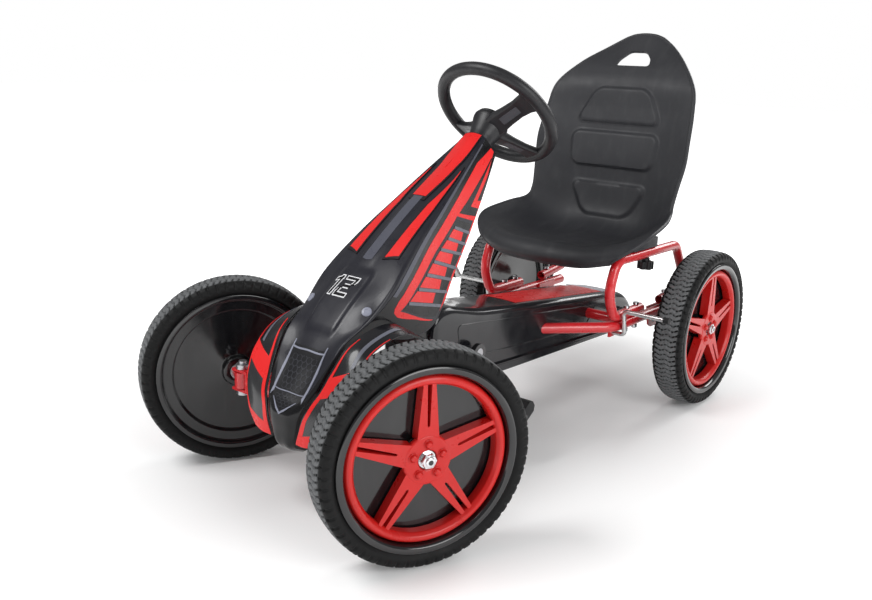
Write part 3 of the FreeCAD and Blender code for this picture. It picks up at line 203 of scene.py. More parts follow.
def plastic(name, colour, rough, grain, coat=0.0, grain_scale=1400, shine=0.3):
    """Moulded plastic: faint flow marks in the colour, a fine texture and handling marks."""
    look = Look(name)
    flow = look.noise(9, 4)
    streaks = look.noise(60, 2, place=look.stretched(1, 0.12, 0.4))
    base = look.blend(flow, tone(colour, 0.88), tone(colour, 1.1))
    worn = look.blend(look.span(streaks, 0.0, 0.16, 0.5, 0.75), base, tuple(c * 0.8 + 0.05 for c in colour))
    gloss = look.span(look.noise(35, 5), rough - 0.05, rough + 0.08, 0.3, 0.7)
    fine = look.noise(grain_scale, 2, 0.6)
    broad = look.bump(look.noise(24, 2), 0.0006, 0.25)
    look.set(Base_Color=worn, Roughness=gloss, Normal=look.bump(fine, grain * MM, 0.8, broad))
    look.set(Coat_Weight=coat, Coat_Roughness=0.08, Specular_IOR_Level=shine)
    return look.material


def painted(name, colour):
    """Powder coat on tube: orange peel, a clear gloss and slight fading."""
    look = Look(name)
    fade = look.noise(14, 4)
    base = look.blend(fade, tone(colour, 0.86), tone(colour, 1.08))
    chips = look.span(look.noise(420, 3), 0.0, 0.35, 0.735, 0.76)
    base = look.blend(chips, base, tone(colour, 0.35))
    peel = look.bump(look.noise(520, 2), 0.00007, 0.8)
    look.set(Base_Color=base, Roughness=look.span(look.noise(50, 4), 0.24, 0.38, 0.3, 0.7), Normal=peel)
    look.set(Coat_Weight=0.5, Coat_Roughness=0.12)
    return look.material


def plated(name, colour, rough):
    """Zinc-plated steel with fine drawing marks."""
    look = Look(name)
    cloud = look.noise(70, 4)
    base = look.blend(cloud, tone(colour, 0.8), tone(colour, 1.08))
    lines = look.noise(900, 2, place=look.stretched(0.06, 1, 1))
    spots = look.span(look.noise(260, 4), 0.0, 0.5, 0.68, 0.74)
    base = look.blend(spots, base, tone(colour, 0.55))
    look.set(
        Base_Color=base,
        Metallic=1.0,
        Roughness=look.span(cloud, rough - 0.06, rough + 0.12, 0.3, 0.7),
        Normal=look.bump(lines, 0.00003, 0.6),
    )
    return look.material


def tread_rubber(name, dark, worn):
    """Tyre rubber: grey where the tread blocks wear, near black in the grooves and on the walls."""
    look = Look(name)
    flat = look.add("ShaderNodeVectorMath", {0: look.place, 1: (1, 1, 0)}, operation="MULTIPLY").outputs[0]
    radius = look.add("ShaderNodeVectorMath", {0: flat}, operation="LENGTH").outputs["Value"]
    height = look.add("ShaderNodeSeparateXYZ", {0: look.place}).outputs["Z"]
    side = look.maths("ABSOLUTE", height)
    crown = look.span(radius, 0.0, 1.0, 0.1424, 0.1436)
    inside = look.span(side, 1.0, 0.0, 0.0195, 0.0225)
    scuffs = look.span(look.noise(260, 4, 0.7), 0.55, 1.0, 0.35, 0.65)
    top = look.maths("MULTIPLY", look.maths("MULTIPLY", crown, inside), scuffs)
    cloud = look.noise(36, 4, 0.6)
    base = look.blend(cloud, tone(dark, 0.8), tone(dark, 1.25))
    pits = look.noise(1300, 3, 0.65)
    look.set(
        Base_Color=look.blend(top, base, worn),
        Roughness=look.span(cloud, 0.5, 0.68, 0.3, 0.7),
        Normal=look.bump(pits, 0.00009, 0.7),
        Specular_IOR_Level=0.22,
    )
    return look.material


def rubber(name, colour, rough=0.62):
    """Soft rubber: a faint bloom, some dust in patches, and a fine pitted skin."""
    look = Look(name)
    bloom = look.noise(30, 5, 0.65)
    dust = look.span(look.noise(230, 4, 0.7), 0.0, 0.5, 0.48, 0.8)
    base = look.blend(bloom, tone(colour, 0.78), tone(colour, 1.2))
    base = look.blend(dust, base, tone(colour, 1.7))
    pits = look.noise(1300, 3, 0.65)
    look.set(
        Base_Color=base,
        Roughness=look.span(bloom, rough - 0.06, rough + 0.14, 0.3, 0.7),
        Normal=look.bump(pits, 0.00009, 0.7),
        Specular_IOR_Level=0.3,
    )
    return look.material


def film(name, colour, rough=0.28):
    """A printed vinyl sticker: smooth, slightly wavy, with tiny print dots. The painted highlights on the
    nose take this look too.
    """
    look = Look(name)
    dots = look.noise(1900, 1)
    base = look.blend(dots, tone(colour, 0.93), tone(colour, 1.05))
    look.set(
        Base_Color=base,
        Roughness=look.span(look.noise(45, 4), rough - 0.05, rough + 0.1, 0.3, 0.7),
        Normal=look.bump(look.noise(130, 2), 0.00012, 0.35),
    )
    look.set(Coat_Weight=0.12, Coat_Roughness=0.12, Specular_IOR_Level=0.25)
    return look.material


def weave(name, dark, light):
    """A printed carbon weave, about two millimetres a thread."""
    look = Look(name)
    checks = look.add("ShaderNodeTexChecker", {"Vector": look.place, "Scale": 420.0}).outputs["Fac"]
    cloud = look.noise(40, 3)
    base = look.blend(checks, dark, light)
    worn = look.blend(look.span(cloud, 0.0, 0.5), base, dark)
    look.set(Base_Color=worn, Roughness=look.span(cloud, 0.25, 0.4))
    look.set(Normal=look.bump(checks, 0.00005, 0.4), Coat_Weight=0.3, Coat_Roughness=0.1)
    return look.material


def floor_material():
    """Pale floor that glows more and more away from the object, so no horizon shows."""
    look = Look("StudioFloor")
    base = look.blend(look.noise(3, 3), (0.86, 0.86, 0.86), (0.9, 0.9, 0.9))
    away = look.add("ShaderNodeVectorMath", {0: look.place}, operation="LENGTH").outputs["Value"]
    look.set(
        Base_Color=base,
        Roughness=0.75,
        Emission_Strength=look.span(away, 0.0, 0.95, 0.35, 1.6),
        Emission_Color=(1, 1, 1, 1),
    )
    return look.material


RED = (0.6, 0.014, 0.02)
PRINT_RED = (0.72, 0.018, 0.018)
BLACK = (0.006, 0.006, 0.007)
NOSE_GREY = (0.011, 0.011, 0.017)

MATERIALS = {
    "tyre_rubber": tread_rubber("TyreRubber", (0.0035, 0.0036, 0.0038), (0.15, 0.155, 0.16)),
    "rim_black": plastic("RimBlack", BLACK, 0.12, 0.01, coat=0.5, shine=0.4),
    "star_red": plastic("StarRed", (0.52, 0.012, 0.01), 0.3, 0.03, coat=0.15),
    "bush_plastic": plastic("BushPlastic", (0.42, 0.42, 0.43), 0.5, 0.04),
    "bolt_zinc": plated("BoltZinc", (0.72, 0.72, 0.74), 0.24),
    "axle_steel": plated("AxleSteel", (0.5, 0.5, 0.52), 0.34),
    "frame_red": painted("FrameRed", RED),
    "column_black": painted("ColumnBlack", (0.008, 0.008, 0.009)),
    "wheel_black": plastic("WheelBlack", (0.01, 0.01, 0.012), 0.42, 0.06, shine=0.4),
    "trim_grey": plastic("TrimGrey", (0.055, 0.057, 0.065), 0.35, 0.03),
    "nose_grey": plastic("NoseGrey", NOSE_GREY, 0.3, 0.015, coat=0.08, shine=0.3),
    "wing_black": plastic("WingBlack", (0.007, 0.007, 0.009), 0.22, 0.02, coat=0.3),
    "guard_black": plastic("GuardBlack", (0.007, 0.007, 0.009), 0.18, 0.02, coat=0.35),
    "seat_grey": plastic("SeatGrey", (0.022, 0.0225, 0.026), 0.5, 0.1, grain_scale=900, shine=0.35),
    "knob_black": plastic("KnobBlack", (0.007, 0.007, 0.008), 0.4, 0.05),
    "pedal_black": plastic("PedalBlack", (0.012, 0.012, 0.013), 0.5, 0.08),
    "bar_zinc": plated("BarZinc", (0.7, 0.7, 0.7), 0.26),
    "grip_rubber": rubber("GripRubber", (0.01, 0.01, 0.011), 0.55),
}
PRINT_AND_HIGHLIGHT_LOOKS = {
    "red": film("PrintRed", PRINT_RED),
    "black": film("PrintBlack", (0.006, 0.006, 0.007), 0.2),
    "silver": film("PrintSilver", (0.24, 0.25, 0.31)),
    "grey": film("PrintGrey", (0.13, 0.135, 0.165)),
    "white": film("PrintWhite", (0.72, 0.72, 0.74)),
    "outline": film("PrintOutline", (0.014, 0.01, 0.012)),
    "carbon": weave("PrintCarbon", (0.006, 0.006, 0.007), (0.02, 0.02, 0.024)),
    "mesh": film("PrintMesh", (0.008, 0.008, 0.01), 0.3),
    "cell": film("PrintCell", (0.03, 0.031, 0.038), 0.35),
    # Spine: a painted highlight, the pale streak laid on the nose's ridges and down its raised middle band.
    "spine": film("PaintedHighlightSpine", (0.075, 0.078, 0.1), 0.3),
}


def dress_cad_nodes():
    """Every CAD node that shows gets the detailed material of its slot."""
    slots = {row["node"]: row["material_slot"] for row in frame["record"]["subparts"]}
    for name, node in frame["nodes"].items():
        material = MATERIALS[slots[name]]
        if not node.material_slots:
            node.data.materials.append(material)
        for slot in node.material_slots:
            slot.material = material


# ---------------------------------------------------------------- mesh helpers


def mesh_from(name, points, faces, smooth_angle=35):
    """A mesh in metres, smooth but for edges sharper than the angle in degrees."""
    mesh = bpy.data.meshes.new(name)
    mesh.from_pydata([tuple(p) for p in points], [], faces)
    mesh.validate()
    made = bmesh.new()
    made.from_mesh(mesh)
    bmesh.ops.remove_doubles(made, verts=made.verts, dist=1e-6)
    bmesh.ops.recalc_face_normals(made, faces=made.faces)
    made.to_mesh(mesh)
    made.free()
    mesh.shade_smooth()
    mesh.set_sharp_from_angle(angle=math.radians(smooth_angle))
    return mesh


def piece(name, mesh, body, slot, replaced=(), place=None, look=None):
    """Put a mesh in the scene as a finished piece, in its slot's material unless a look is given."""
    thing = bpy.data.objects.new(name, mesh)
    if place is not None:
        thing.matrix_world = place
    bpy.context.scene.collection.objects.link(thing)
    if not mesh.materials:
        mesh.materials.append(look or MATERIALS[slot])
    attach(thing, body)
    if replaced:
        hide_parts(*replaced)
    return thing


def print_and_highlight_layer(name, slot, colour, shapes):
    """A printed layer on the fixed body, made of several thin shapes; the painted highlights on the nose are
    laid the same way.
    """
    piece(name, mesh_from(name, *joined(*shapes), 40), "frame", slot, look=PRINT_AND_HIGHLIGHT_LOOKS[colour])


def modify(thing, kind, **settings):
    modifier = thing.modifiers.new(kind.title(), kind)
    for key, value in settings.items():
        setattr(modifier, key, value)


def bevel(thing, width, segments=3):
    """Round the thing's sharp edges; width is in millimetres."""
    sharp = math.radians(50)
    modify(thing, "BEVEL", width=width * MM, segments=segments, limit_method="ANGLE", angle_limit=sharp)


def grid_faces(rows, columns):
    """Quads over a grid of rows by columns."""
    faces = []
    for i in range(rows - 1):
        for j in range(columns - 1):
            a = i * columns + j
            b = a + columns
            faces.append((a, a + 1, b + 1, b))
    return faces


def ring_faces(rings, count, closed=True):
    """Quads between rings of count points each; closed joins the last ring to the first."""
    faces = []
    for i in range(rings if closed else rings - 1):
        a = i * count
        b = (i + 1) % rings * count
        faces += [(a + j, a + (j + 1) % count, b + (j + 1) % count, b + j) for j in range(count)]
    return faces


def between(start, end, share):
    """The tuple that lies the share of the way from the start to the end."""
    return tuple(a + (b - a) * share for a, b in zip(start, end))


def filled_in(points, steps):
    """The points with even ones between them; steps(start, end) says how many a stretch takes."""
    result = []
    for start, end in zip(points, points[1:]):
        count = max(1, steps(start, end))
        result += [between(start, end, k / count) for k in range(count)]
    return result + [points[-1]]


def circle(steps):
    """Angles once round, evenly spaced."""
    return [math.tau * i / steps for i in range(steps)]


def lathe(profile, steps=128):
    """Points and faces of a closed (radius, height) outline turned about Z."""
    points = []
    for angle in circle(steps):
        for radius, height in profile:
            points.append(Vector((radius * math.cos(angle), radius * math.sin(angle), height)) * MM)
    return points, ring_faces(steps, len(profile))


def rounded(corners, radius, steps=4, closed=True):
    """The 2-D outline with every corner rounded off as far as its sides allow."""
    points = []
    count = len(corners)
    for i, corner in enumerate(corners):
        here = Vector(corner)
        if not closed and i in (0, count - 1):
            points.append(tuple(here))
            continue
        before = Vector(corners[i - 1]) - here
        after = Vector(corners[(i + 1) % count]) - here
        reach = min(radius, before.length * 0.45, after.length * 0.45)
        start = here + before.normalized() * reach
        end = here + after.normalized() * reach
        for k in range(steps + 1):
            t = k / steps
            points.append(tuple(start * (1 - t) ** 2 + here * (2 * t * (1 - t)) + end * t**2))
    return points


def slab(outer, inner):
    """A closed wall between two grids of points of the same size."""
    rows, columns = len(outer), len(outer[0])
    count = rows * columns
    points = [p for row in outer for p in row] + [p for row in inner for p in row]
    faces = grid_faces(rows, columns)
    faces += [tuple(count + i for i in reversed(face)) for face in faces]
    last = count - columns
    border = [(j, j + 1) for j in range(columns - 1)]
    border += [(last + j + 1, last + j) for j in range(columns - 1)]
    border += [((i + 1) * columns, i * columns) for i in range(rows - 1)]
    border += [((i + 1) * columns - 1, (i + 2) * columns - 1) for i in range(rows - 1)]
    faces += [(b, a, a + count, b + count) for a, b in border]
    return points, faces


def joined(*shapes):
    """Several (points, faces) as one."""
    points = []
    faces = []
    for some_points, some_faces in shapes:
        shift = len(points)
        points += list(some_points)
        faces += [tuple(i + shift for i in face) for face in some_faces]
    return points, faces


def loft(rings):
    """A solid through closed rings of points, with flat ends."""
    count = len(rings[0])
    points = [p for ring in rings for p in ring]
    faces = ring_faces(len(rings), count, closed=False)
    faces.append(tuple(reversed(range(count))))
    faces.append(tuple(range(len(points) - count, len(points))))
    return points, faces


def prism(corners, low, high):
    """A flat outline of (x, y) in millimetres, raised from z low to high."""
    return loft([[Vector((x, y, z)) * MM for x, y in corners] for z in (low, high)])


def moved(shape, matrix):
    points, faces = shape
    return [matrix @ Vector(p) for p in points], faces


def turned_about(shape, degrees):
    return moved(shape, Matrix.Rotation(math.radians(degrees), 4, "Z"))


def bead_along(path, radius, steps):
    """A round bead of the radius (millimetres) along a closed path in metres."""
    count = len(path)
    points = []
    side = None
    for i, here in enumerate(path):
        along = (path[(i + 1) % count] - path[i - 1]).normalized()
        if side is None:
            side = along.orthogonal()
        side = (side - along * side.dot(along)).normalized()
        other = along.cross(side)
        points += [here + (side * math.cos(a) + other * math.sin(a)) * radius * MM for a in circle(steps)]
    return points, ring_faces(count, steps)


# ---------------------------------------------------------------- smooth panels


def curve_weights(t, first, last, count):
    """Catmull-Rom weights at t through the points first to last, as a row over all the points."""
    start = min(max(int(t), first), last - 1)
    f = t - start
    before = (2 * f**2 - f - f**3) / 2
    beyond = (f**3 - f**2) / 2
    row = np.zeros(count)
    row[start] += (2 - 5 * f**2 + 3 * f**3) / 2
    row[start + 1] += (f + 4 * f**2 - 3 * f**3) / 2
    if start > first:
        row[start - 1] += before
    else:
        row[start] += 2 * before
        row[start + 1] -= before
    if start + 2 <= last:
        row[start + 2] += beyond
    else:
        row[start + 1] += 2 * beyond
        row[start] -= beyond
    return row


class Panel:
    """A smooth surface through rows of measured points; u counts the rows and v the columns."""

    def __init__(self, rows, across):
        table = np.array([[tuple(at(*p)) for p in row] for row in rows])
        self.last_u = len(rows) - 1
        self.last_v = len(rows[0]) - 1
        self.count_u = self.last_u * 20
        self.count_v = self.last_v * 50
        us = np.linspace(0, self.last_u, self.count_u + 1)
        vs = np.linspace(0, self.last_v, self.count_v + 1)
        along = np.array([curve_weights(u, 0, self.last_u, self.last_u + 1) for u in us])
        cross = np.array([across(v) for v in vs])
        self.places = np.einsum("ui,ijk,vj->uvk", along, table, cross)
        normals = np.cross(np.gradient(self.places, axis=0), np.gradient(self.places, axis=1))
        self.normals = normals / np.linalg.norm(normals, axis=2, keepdims=True)

    def mixed(self, grid, u, v):
        a = min(max(u * self.count_u / self.last_u, 0), self.count_u - 1e-6)
        b = min(max(v * self.count_v / self.last_v, 0), self.count_v - 1e-6)
        i, j = int(a), int(b)
        s, t = a - i, b - j
        near = grid[i, j] * (1 - t) + grid[i, j + 1] * t
        far = grid[i + 1, j] * (1 - t) + grid[i + 1, j + 1] * t
        return Vector(near * (1 - s) + far * s)

    def point(self, u, v, lift=0.0):
        """The place at (u, v), lift millimetres outside the surface."""
        return self.mixed(self.places, u, v) + self.normal(u, v) * (lift * MM)

    def normal(self, u, v):
        return self.mixed(self.normals, u, v).normalized()

    def wall(self, us, vs, thickness, lift=None):
        """A closed wall over the whole panel; lift gives extra height outside at (u, v)."""
        raised = lift or (lambda u, v: 0.0)
        outer = [[self.point(u, v, raised(u, v)) for v in vs] for u in us]
        inner = [[self.point(u, v, -thickness) for v in vs] for u in us]
        return slab(outer, inner)


PATCH_STEP = 0.12


def patch(panel, first, second, high, low=-0.4):
    """A thin slab on the panel between two edges, each a list of (u, v) with as many corners."""

    def steps(start, end):
        return math.ceil(max(abs(b - a) for a, b in zip(start, end)) / PATCH_STEP)

    rows = filled_in([(*p, *q) for p, q in zip(first, second)], steps)
    columns = max(1, max(steps(row[:2], row[2:]) for row in rows))
    outer = []
    inner = []
    for row in rows:
        spots = [between(row[:2], row[2:], j / columns) for j in range(columns + 1)]
        outer.append([panel.point(u, v, high) for u, v in spots])
        inner.append([panel.point(u, v, low) for u, v in spots])
    return slab(outer, inner)


# ---------------------------------------------------------------- wheels

REAR_TRACK_HALF = 219.3
KINGPIN_X = 159.7
KINGPIN_OFFSET = 55.7
# Name, side, turn to the driver's right at rest in degrees, body, and the nut's body and CAD nodes
WHEELS = (
    ("front_left", 1, 24.1, "front_left_wheel", "knuckle_left", ["front_left_nut"]),
    ("front_right", -1, 27.6, "front_right_wheel", "knuckle_right", ["front_right_nut"]),
    ("rear_left", 1, 0, "rear_axle", "rear_axle", ["rear_hub_nuts"]),
    ("rear_right", -1, 0, "rear_right_wheel", "rear_axle", []),
)
SPOKES = 5
BOLT_CIRCLE = 21
TREAD_ROWS = 96
SHOULDER_BLOCKS = 64
TYRE_STEPS = 960
TREAD_FOOT = 141
TYRE_HALF = (
    (118, 23.5), (123.5, 23.6), (126, 25.6), (129, 27.6), (132, 28), (134, 28), (136, 27.8), (138, 27),
    (140, 25.7), (141.4, 24), (142.4, 22.2), (143.2, 20.2), (143.9, 17.4), (144.3, 14.4), (144.6, 11.6),
    (144.8, 8.8), (144.9, 6), (145, 3), (145, 0),
)


def ramp(x, start, end):
    t = np.clip((x - start) / (end - start), 0, 1)
    return t * t * (3 - 2 * t)


def tread_depth(turn, z):
    """How far the tread is cut down, in millimetres; turn runs from 0 to 1 round the tyre."""
    side = np.abs(z)
    wave = 0.42 * np.abs((z / 9.6) % 2 - 1)
    phase = (turn * TREAD_ROWS + wave) % 1
    groove = ramp(phase, 0.5, 0.66) * (1 - ramp(phase, 0.86, 1.0))
    lane = np.abs((z / 6.4 + 0.5 * np.floor(turn * TREAD_ROWS + wave)) % 1 - 0.5)
    slit = groove * (0.55 + 0.45 * ramp(lane, 0.08, 0.2)) * (1 - ramp(side, 19, 20.5))
    lane_cut = 0.5 * (1 - ramp(np.abs((z / 9.6) % 2 - 1), 0.0, 0.1)) * (1 - ramp(side, 18, 20))
    block = (turn * SHOULDER_BLOCKS) % 1
    notch = ramp(block, 0.62, 0.72) * (1 - ramp(block, 0.9, 1.0)) * ramp(side, 19.5, 21)
    return 2.3 * slit + lane_cut + 3.2 * notch


def tyre_mesh():
    """Lathed tyre with wavy broken tread rows and notched shoulders."""
    profile = list(TYRE_HALF) + [(r, -z) for r, z in reversed(TYRE_HALF[:-1])]

    def steps(start, end):
        return round(abs(end[1] - start[1])) if min(start[0], end[0]) > TREAD_FOOT else 1

    fine = filled_in(profile, steps)
    radii = np.array([r for r, z in fine])
    heights = np.array([z for r, z in fine])
    points = []
    for angle in circle(TYRE_STEPS):
        depth = tread_depth(angle / math.tau, heights) * ramp(radii, 131, 135)
        inward = np.where(radii < TREAD_FOOT, 0.0, 1.0)
        turned = radii - depth * inward
        flat = heights - np.sign(heights) * depth * 0.5 * (1 - inward)
        for r, z in zip(turned, flat):
            points.append(Vector((r * math.cos(angle), r * math.sin(angle), z)) * MM)
    return mesh_from("Tyre", points, ring_faces(TYRE_STEPS, len(fine)), 50)


RIM_PROFILE = (
    (11, -20), (22, -20), (24, -12), (60, -12), (97, -12), (97, -19), (113, -19), (114, -26), (116.5, -27.5),
    (123, -27), (123, -23.8), (117.8, -23.8), (117.8, 23.8), (123, 23.8), (123, 26.5), (120, 28),
    (114, 27), (111.5, 22.5), (111.5, 0), (60, 0), (26, 0), (24, 12), (11, 12),
)


def rim_mesh():
    points, faces = lathe(rounded(RIM_PROFILE, 2.2, 4), 192)
    return mesh_from("Rim", points, faces, 50)


def star_shape():
    """The red cover: ring, five slotted spokes, and a round middle with five bolt heads."""
    ring = ((97, 3), (110.7, 3), (110.7, 16), (108.2, 21), (104.7, 23), (100.7, 22), (97, 17))
    hub = ((12.5, 12.3), (33, 12.3), (33, 17.2), (31, 19.4), (26.5, 19.7), (14.5, 19.7), (12.5, 18.4))
    shapes = [lathe(rounded(ring, 1.6, 4), 192), lathe(rounded(hub, 1.2, 3), 96)]
    spoke = [
        (-15, 27), (15, 27), (8.5, 99.5), (3, 99.5), (1.7, 45), (0, 43),
        (-1.7, 45), (-3, 99.5), (-8.5, 99.5),
    ]
    bolt = (
        (0.01, 18.5), (6.6, 18.5), (6.6, 20.9), (5.5, 21.0), (5.2, 20.2), (4.7, 22.4), (3.3, 24.0),
        (0.01, 24.4),
    )
    head = moved(lathe(rounded(bolt, 0.6, 2), 24), Matrix.Translation((0, BOLT_CIRCLE * MM, 0)))
    arm = prism(spoke, 3, 18.9)
    for i in range(SPOKES):
        shapes += [turned_about(arm, 360 * i / SPOKES), turned_about(head, 360 * i / SPOKES)]
    return joined(*shapes)


def hub_nut_shape():
    """A hexagon nut with a turned face, the axle's end and its washer."""
    hexagon = [(10.2 * math.cos(a), 10.2 * math.sin(a)) for a in circle(6)]
    face = (
        (3.2, 23), (9.4, 23), (8.8, 24.9), (6.6, 25.6), (6.3, 27.6), (5.2, 28.2), (3.4, 28.2),
        (3.2, 27.6),
    )
    washer = ((6.1, 15.2), (11.6, 15.2), (11.6, 16.6), (6.1, 16.6))
    return joined(prism(hexagon, 16.4, 24.2), lathe(face, 48), lathe(washer, 48))


def add_hub_nut(name, place, body, nodes):
    nut = mesh_from(name + "_nut", *hub_nut_shape(), 30)
    piece(name + "_nut_detail", nut, body, "bolt_zinc", nodes, place)
    disc = lathe([(0.01, 26.9), (3.3, 26.9), (3.3, 27.7), (0.01, 27.5)], 32)
    piece(name + "_axle_hole", mesh_from(name + "_hole", *disc, 30), body, "rim_black", (), place)


def wheel_matrix(centre, outward):
    up = Vector((0, 0, 1))
    turn = Matrix((up.cross(outward), up, outward)).transposed().to_4x4()
    return Matrix.Translation(centre) @ turn


def add_wheels():
    """Three shared meshes for all four wheels, and a nut on each axle end."""
    meshes = (
        ("tyre", tyre_mesh(), "tyre_rubber", None),
        ("rim", rim_mesh(), "rim_black", None),
        ("star", mesh_from("Star", *star_shape(), 40), "star_red", 1.3),
    )
    for name, side, turned, body, nut_body, nut_nodes in WHEELS:
        angle = math.radians(turned)
        outward = Vector((math.cos(angle), -math.sin(angle), 0)) * side
        centre = at(side * REAR_TRACK_HALF, WHEELBASE, HUB_HEIGHT)
        if turned:
            centre = at(side * KINGPIN_X, 0, HUB_HEIGHT) + outward * KINGPIN_OFFSET * MM
        place = wheel_matrix(centre, outward)
        for part, mesh, slot, edge in meshes:
            thing = piece(f"{name}_{part}_detail", mesh, body, slot, [f"{name}_{part}"], place)
            if edge:
                bevel(thing, edge)
        add_hub_nut(name, place, nut_body, nut_nodes)


# ---------------------------------------------------------------- nose cover

# Each row is (rear edge, ridge, beside the middle, middle), from the chin up
NOSE = (
    ((10, -24, 92), (12, -32, 92), (6, -34, 89), (0, -34, 89)),
    ((18, -48, 106), (17, -58, 107), (10, -62, 105), (0, -62, 105)),
    ((25, -52, 130), (24, -63, 130), (14, -67, 130), (0, -68, 130)),
    ((30, -50, 151), (29, -63, 151), (16, -69, 152), (0, -70, 152)),
    ((37, -43, 171), (36, -56, 171), (22, -61, 168), (0, -62, 168)),
    ((46, -28, 188), (44, -45, 189), (26, -50, 181), (0, -51, 181)),
    ((53, -8, 211), (50, -29, 216), (27, -30, 207), (0, -31, 207)),
    ((58, 26, 234), (56, -4, 249), (30, -9, 238), (0, -10, 238)),
    ((59, 75, 238), (65, 37, 276), (38, 31, 282), (0, 30, 283)),
    ((59, 135, 228), (70, 72, 309), (42, 74, 316), (0, 72, 318)),
    ((57, 188, 242), (66, 102, 336), (41, 108, 346), (0, 104, 345)),
    ((49, 236, 301), (57, 151, 374), (36, 156, 382), (0, 154, 383)),
    ((42, 281, 357), (49, 199, 406), (31, 206, 415), (0, 205, 418)),
    ((33, 330, 424), (36, 268, 453), (24, 277, 458), (0, 276, 461)),
    ((28, 362, 478), (20, 344, 503), (13, 341, 507), (0, 340, 509)),
)
RIDGE_ROUNDING = 0.12


def mirrored(half):
    """A full row, left to right, from its left half."""
    return list(half) + [(-x, y, z) for x, y, z in reversed(half[:-1])]


def nose_sharp(v):
    """Flat from the rear edges (0 and 6) to the ridges (1 and 5), and curved between them."""
    if 1 <= v <= 5:
        return curve_weights(v, 1, 5, 7)
    row = np.zeros(7)
    low = 0 if v < 1 else 5
    row[low] = low + 1 - v
    row[low + 1] = v - low
    return row


def nose_across(v):
    r = RIDGE_ROUNDING
    for ridge in (1, 5):
        if abs(v - ridge) < r:
            t = (v - ridge + r) / (2 * r)
            before, middle, after = (nose_sharp(ridge + shift) for shift in (-r, 0, r))
            return before * (1 - t) ** 2 + middle * (2 * t * (1 - t)) + after * t**2
    return nose_sharp(v)


def number_lift(u, v):
    """The number panel is raised a little, and the band down the middle too."""
    across = abs(v - 3)
    wide = 0.82 - 0.07 * (u - 7.35)
    panel = ramp(wide - across, 0, 0.12) * ramp(u, 7.3, 7.5) * (1 - ramp(u, 9.1, 9.5))
    spine = ramp(0.36 - across, 0, 0.1) * ramp(u, 9.4, 10.0)
    return 2.6 * max(panel, 0.45 * spine)


def nose_layers():
    """Every printed patch of one side, and so of both, and the painted highlights on the ridge and the
    middle band: (name, print, height, edges).
    """
    side_left = [
        (8.78, 0.58), (8.76, 0.66), (8.86, 0.72), (9.1, 0.76), (9.83, 0.78), (11.1, 0.78),
        (12.34, 0.76), (13.4, 0.74), (13.93, 0.45),
    ]
    side_right = [
        (8.8, 0.54), (8.95, 0.46), (9.1, 0.4), (9.4, 0.3), (9.9, 0.08), (10.5, 0.01),
        (11.8, 0.01), (12.9, 0.01), (13.93, 0.2),
    ]
    layers = [
        ("nose_side_gloss", "black", 0.35, [
            ([(0.1, 0.02), (13.96, 0.02)], [(0.1, 0.93), (13.96, 0.93)]),
        ]),
        ("nose_chin", "black", 0.35, [(
            [(0, 0.95), (1.5, 0.95), (3, 0.95), (4.2, 0.95), (5.38, 0.95), (6.5, 0.96)],
            [(0, 3), (1.5, 3), (3.1, 3), (4.2, 1.95), (5.38, 1.42), (6.5, 1.02)],
        )]),
        ("nose_side_red", "red", 0.6, [(side_left, side_right)]),
        # A pale streak painted along each ridge: a painted highlight where the ridge catches the light.
        ("nose_ridge_painted_highlight", "spine", 0.6, [(
            [(9.1, 0.85), (11.3, 0.87), (13.8, 0.93)], [(9.0, 0.92), (11.3, 0.96), (13.8, 1.01)],
        )]),
        ("nose_mesh", "mesh", 0.6, [(
            [(6.9, 1.98), (5.8, 1.8), (5, 1.8), (4.1, 1.9), (3.25, 2.8)],
            [(6.9, 3), (5.8, 3), (5, 3), (4.1, 3), (3.25, 3)],
        )]),
        ("nose_mesh_bars", "silver", 1.0, [
            (
                [(7.02, 1.95), (5.9, 1.72), (4.9, 1.7), (4.15, 1.5)],
                [(7.02, 2.0), (5.65, 1.88), (4.7, 1.9), (4.2, 1.55)],
            ),
            ([(4.25, 2.02), (3.4, 2.54), (3.06, 3)], [(4.25, 2.09), (3.56, 2.6), (3.22, 3)]),
        ]),
        ("nose_mesh_lines", "silver", 0.9, [
            ([(6.76, 1.98), (6.76, 3)], [(6.82, 1.98), (6.82, 3)]),
            ([(4.92, 1.92), (4.92, 3)], [(4.98, 1.92), (4.98, 3)]),
        ]),
        # A pale band down the raised middle: a painted highlight along its top.
        ("nose_spine_painted_highlight", "spine", 1.6, [
            ([(9.86, 2.8), (11.0, 2.77), (12.05, 2.74)], [(9.82, 3), (11.0, 3), (12.05, 3)]),
        ]),
        ("nose_stripe_outline", "outline", 1.5, [
            ([(9.9, 2.42), (11.85, 2.26), (13.1, 1.66)], [(10.06, 1.7), (11.85, 1.54), (13.1, 1.54)]),
            ([(11.95, 2.55), (13, 2.3), (13.97, 1.7)], [(11.95, 3), (13, 3), (13.97, 3)]),
        ]),
        ("nose_stripe_red", "red", 1.75, [
            ([(9.98, 2.36), (11.85, 2.18), (12.95, 1.72)], [(10.14, 1.78), (11.85, 1.61), (12.95, 1.62)]),
            ([(12.07, 2.62), (13, 2.4), (13.95, 1.85)], [(12.07, 3), (13, 3), (13.95, 3)]),
        ]),
    ]
    return layers + louvre_layers()


LOUVRE_MIDDLE = (11, 0.3)
LOUVRE_THICK = 1.6
LOUVRE_HALF_WIDTH = 2.3
# Front and rear end of each bar, as (row, column)
LOUVRE_BARS = (
    ((9.45, 0.6), (10.33, 0.06)), ((10.06, 0.6), (10.64, 0.04)), ((10.48, 0.58), (10.9, 0.04)),
    ((10.83, 0.56), (11.18, 0.03)), ((11.19, 0.54), (11.53, 0.03)), ((11.57, 0.5), (11.78, 0.03)),
    ((11.91, 0.48), (12.04, 0.04)),
)


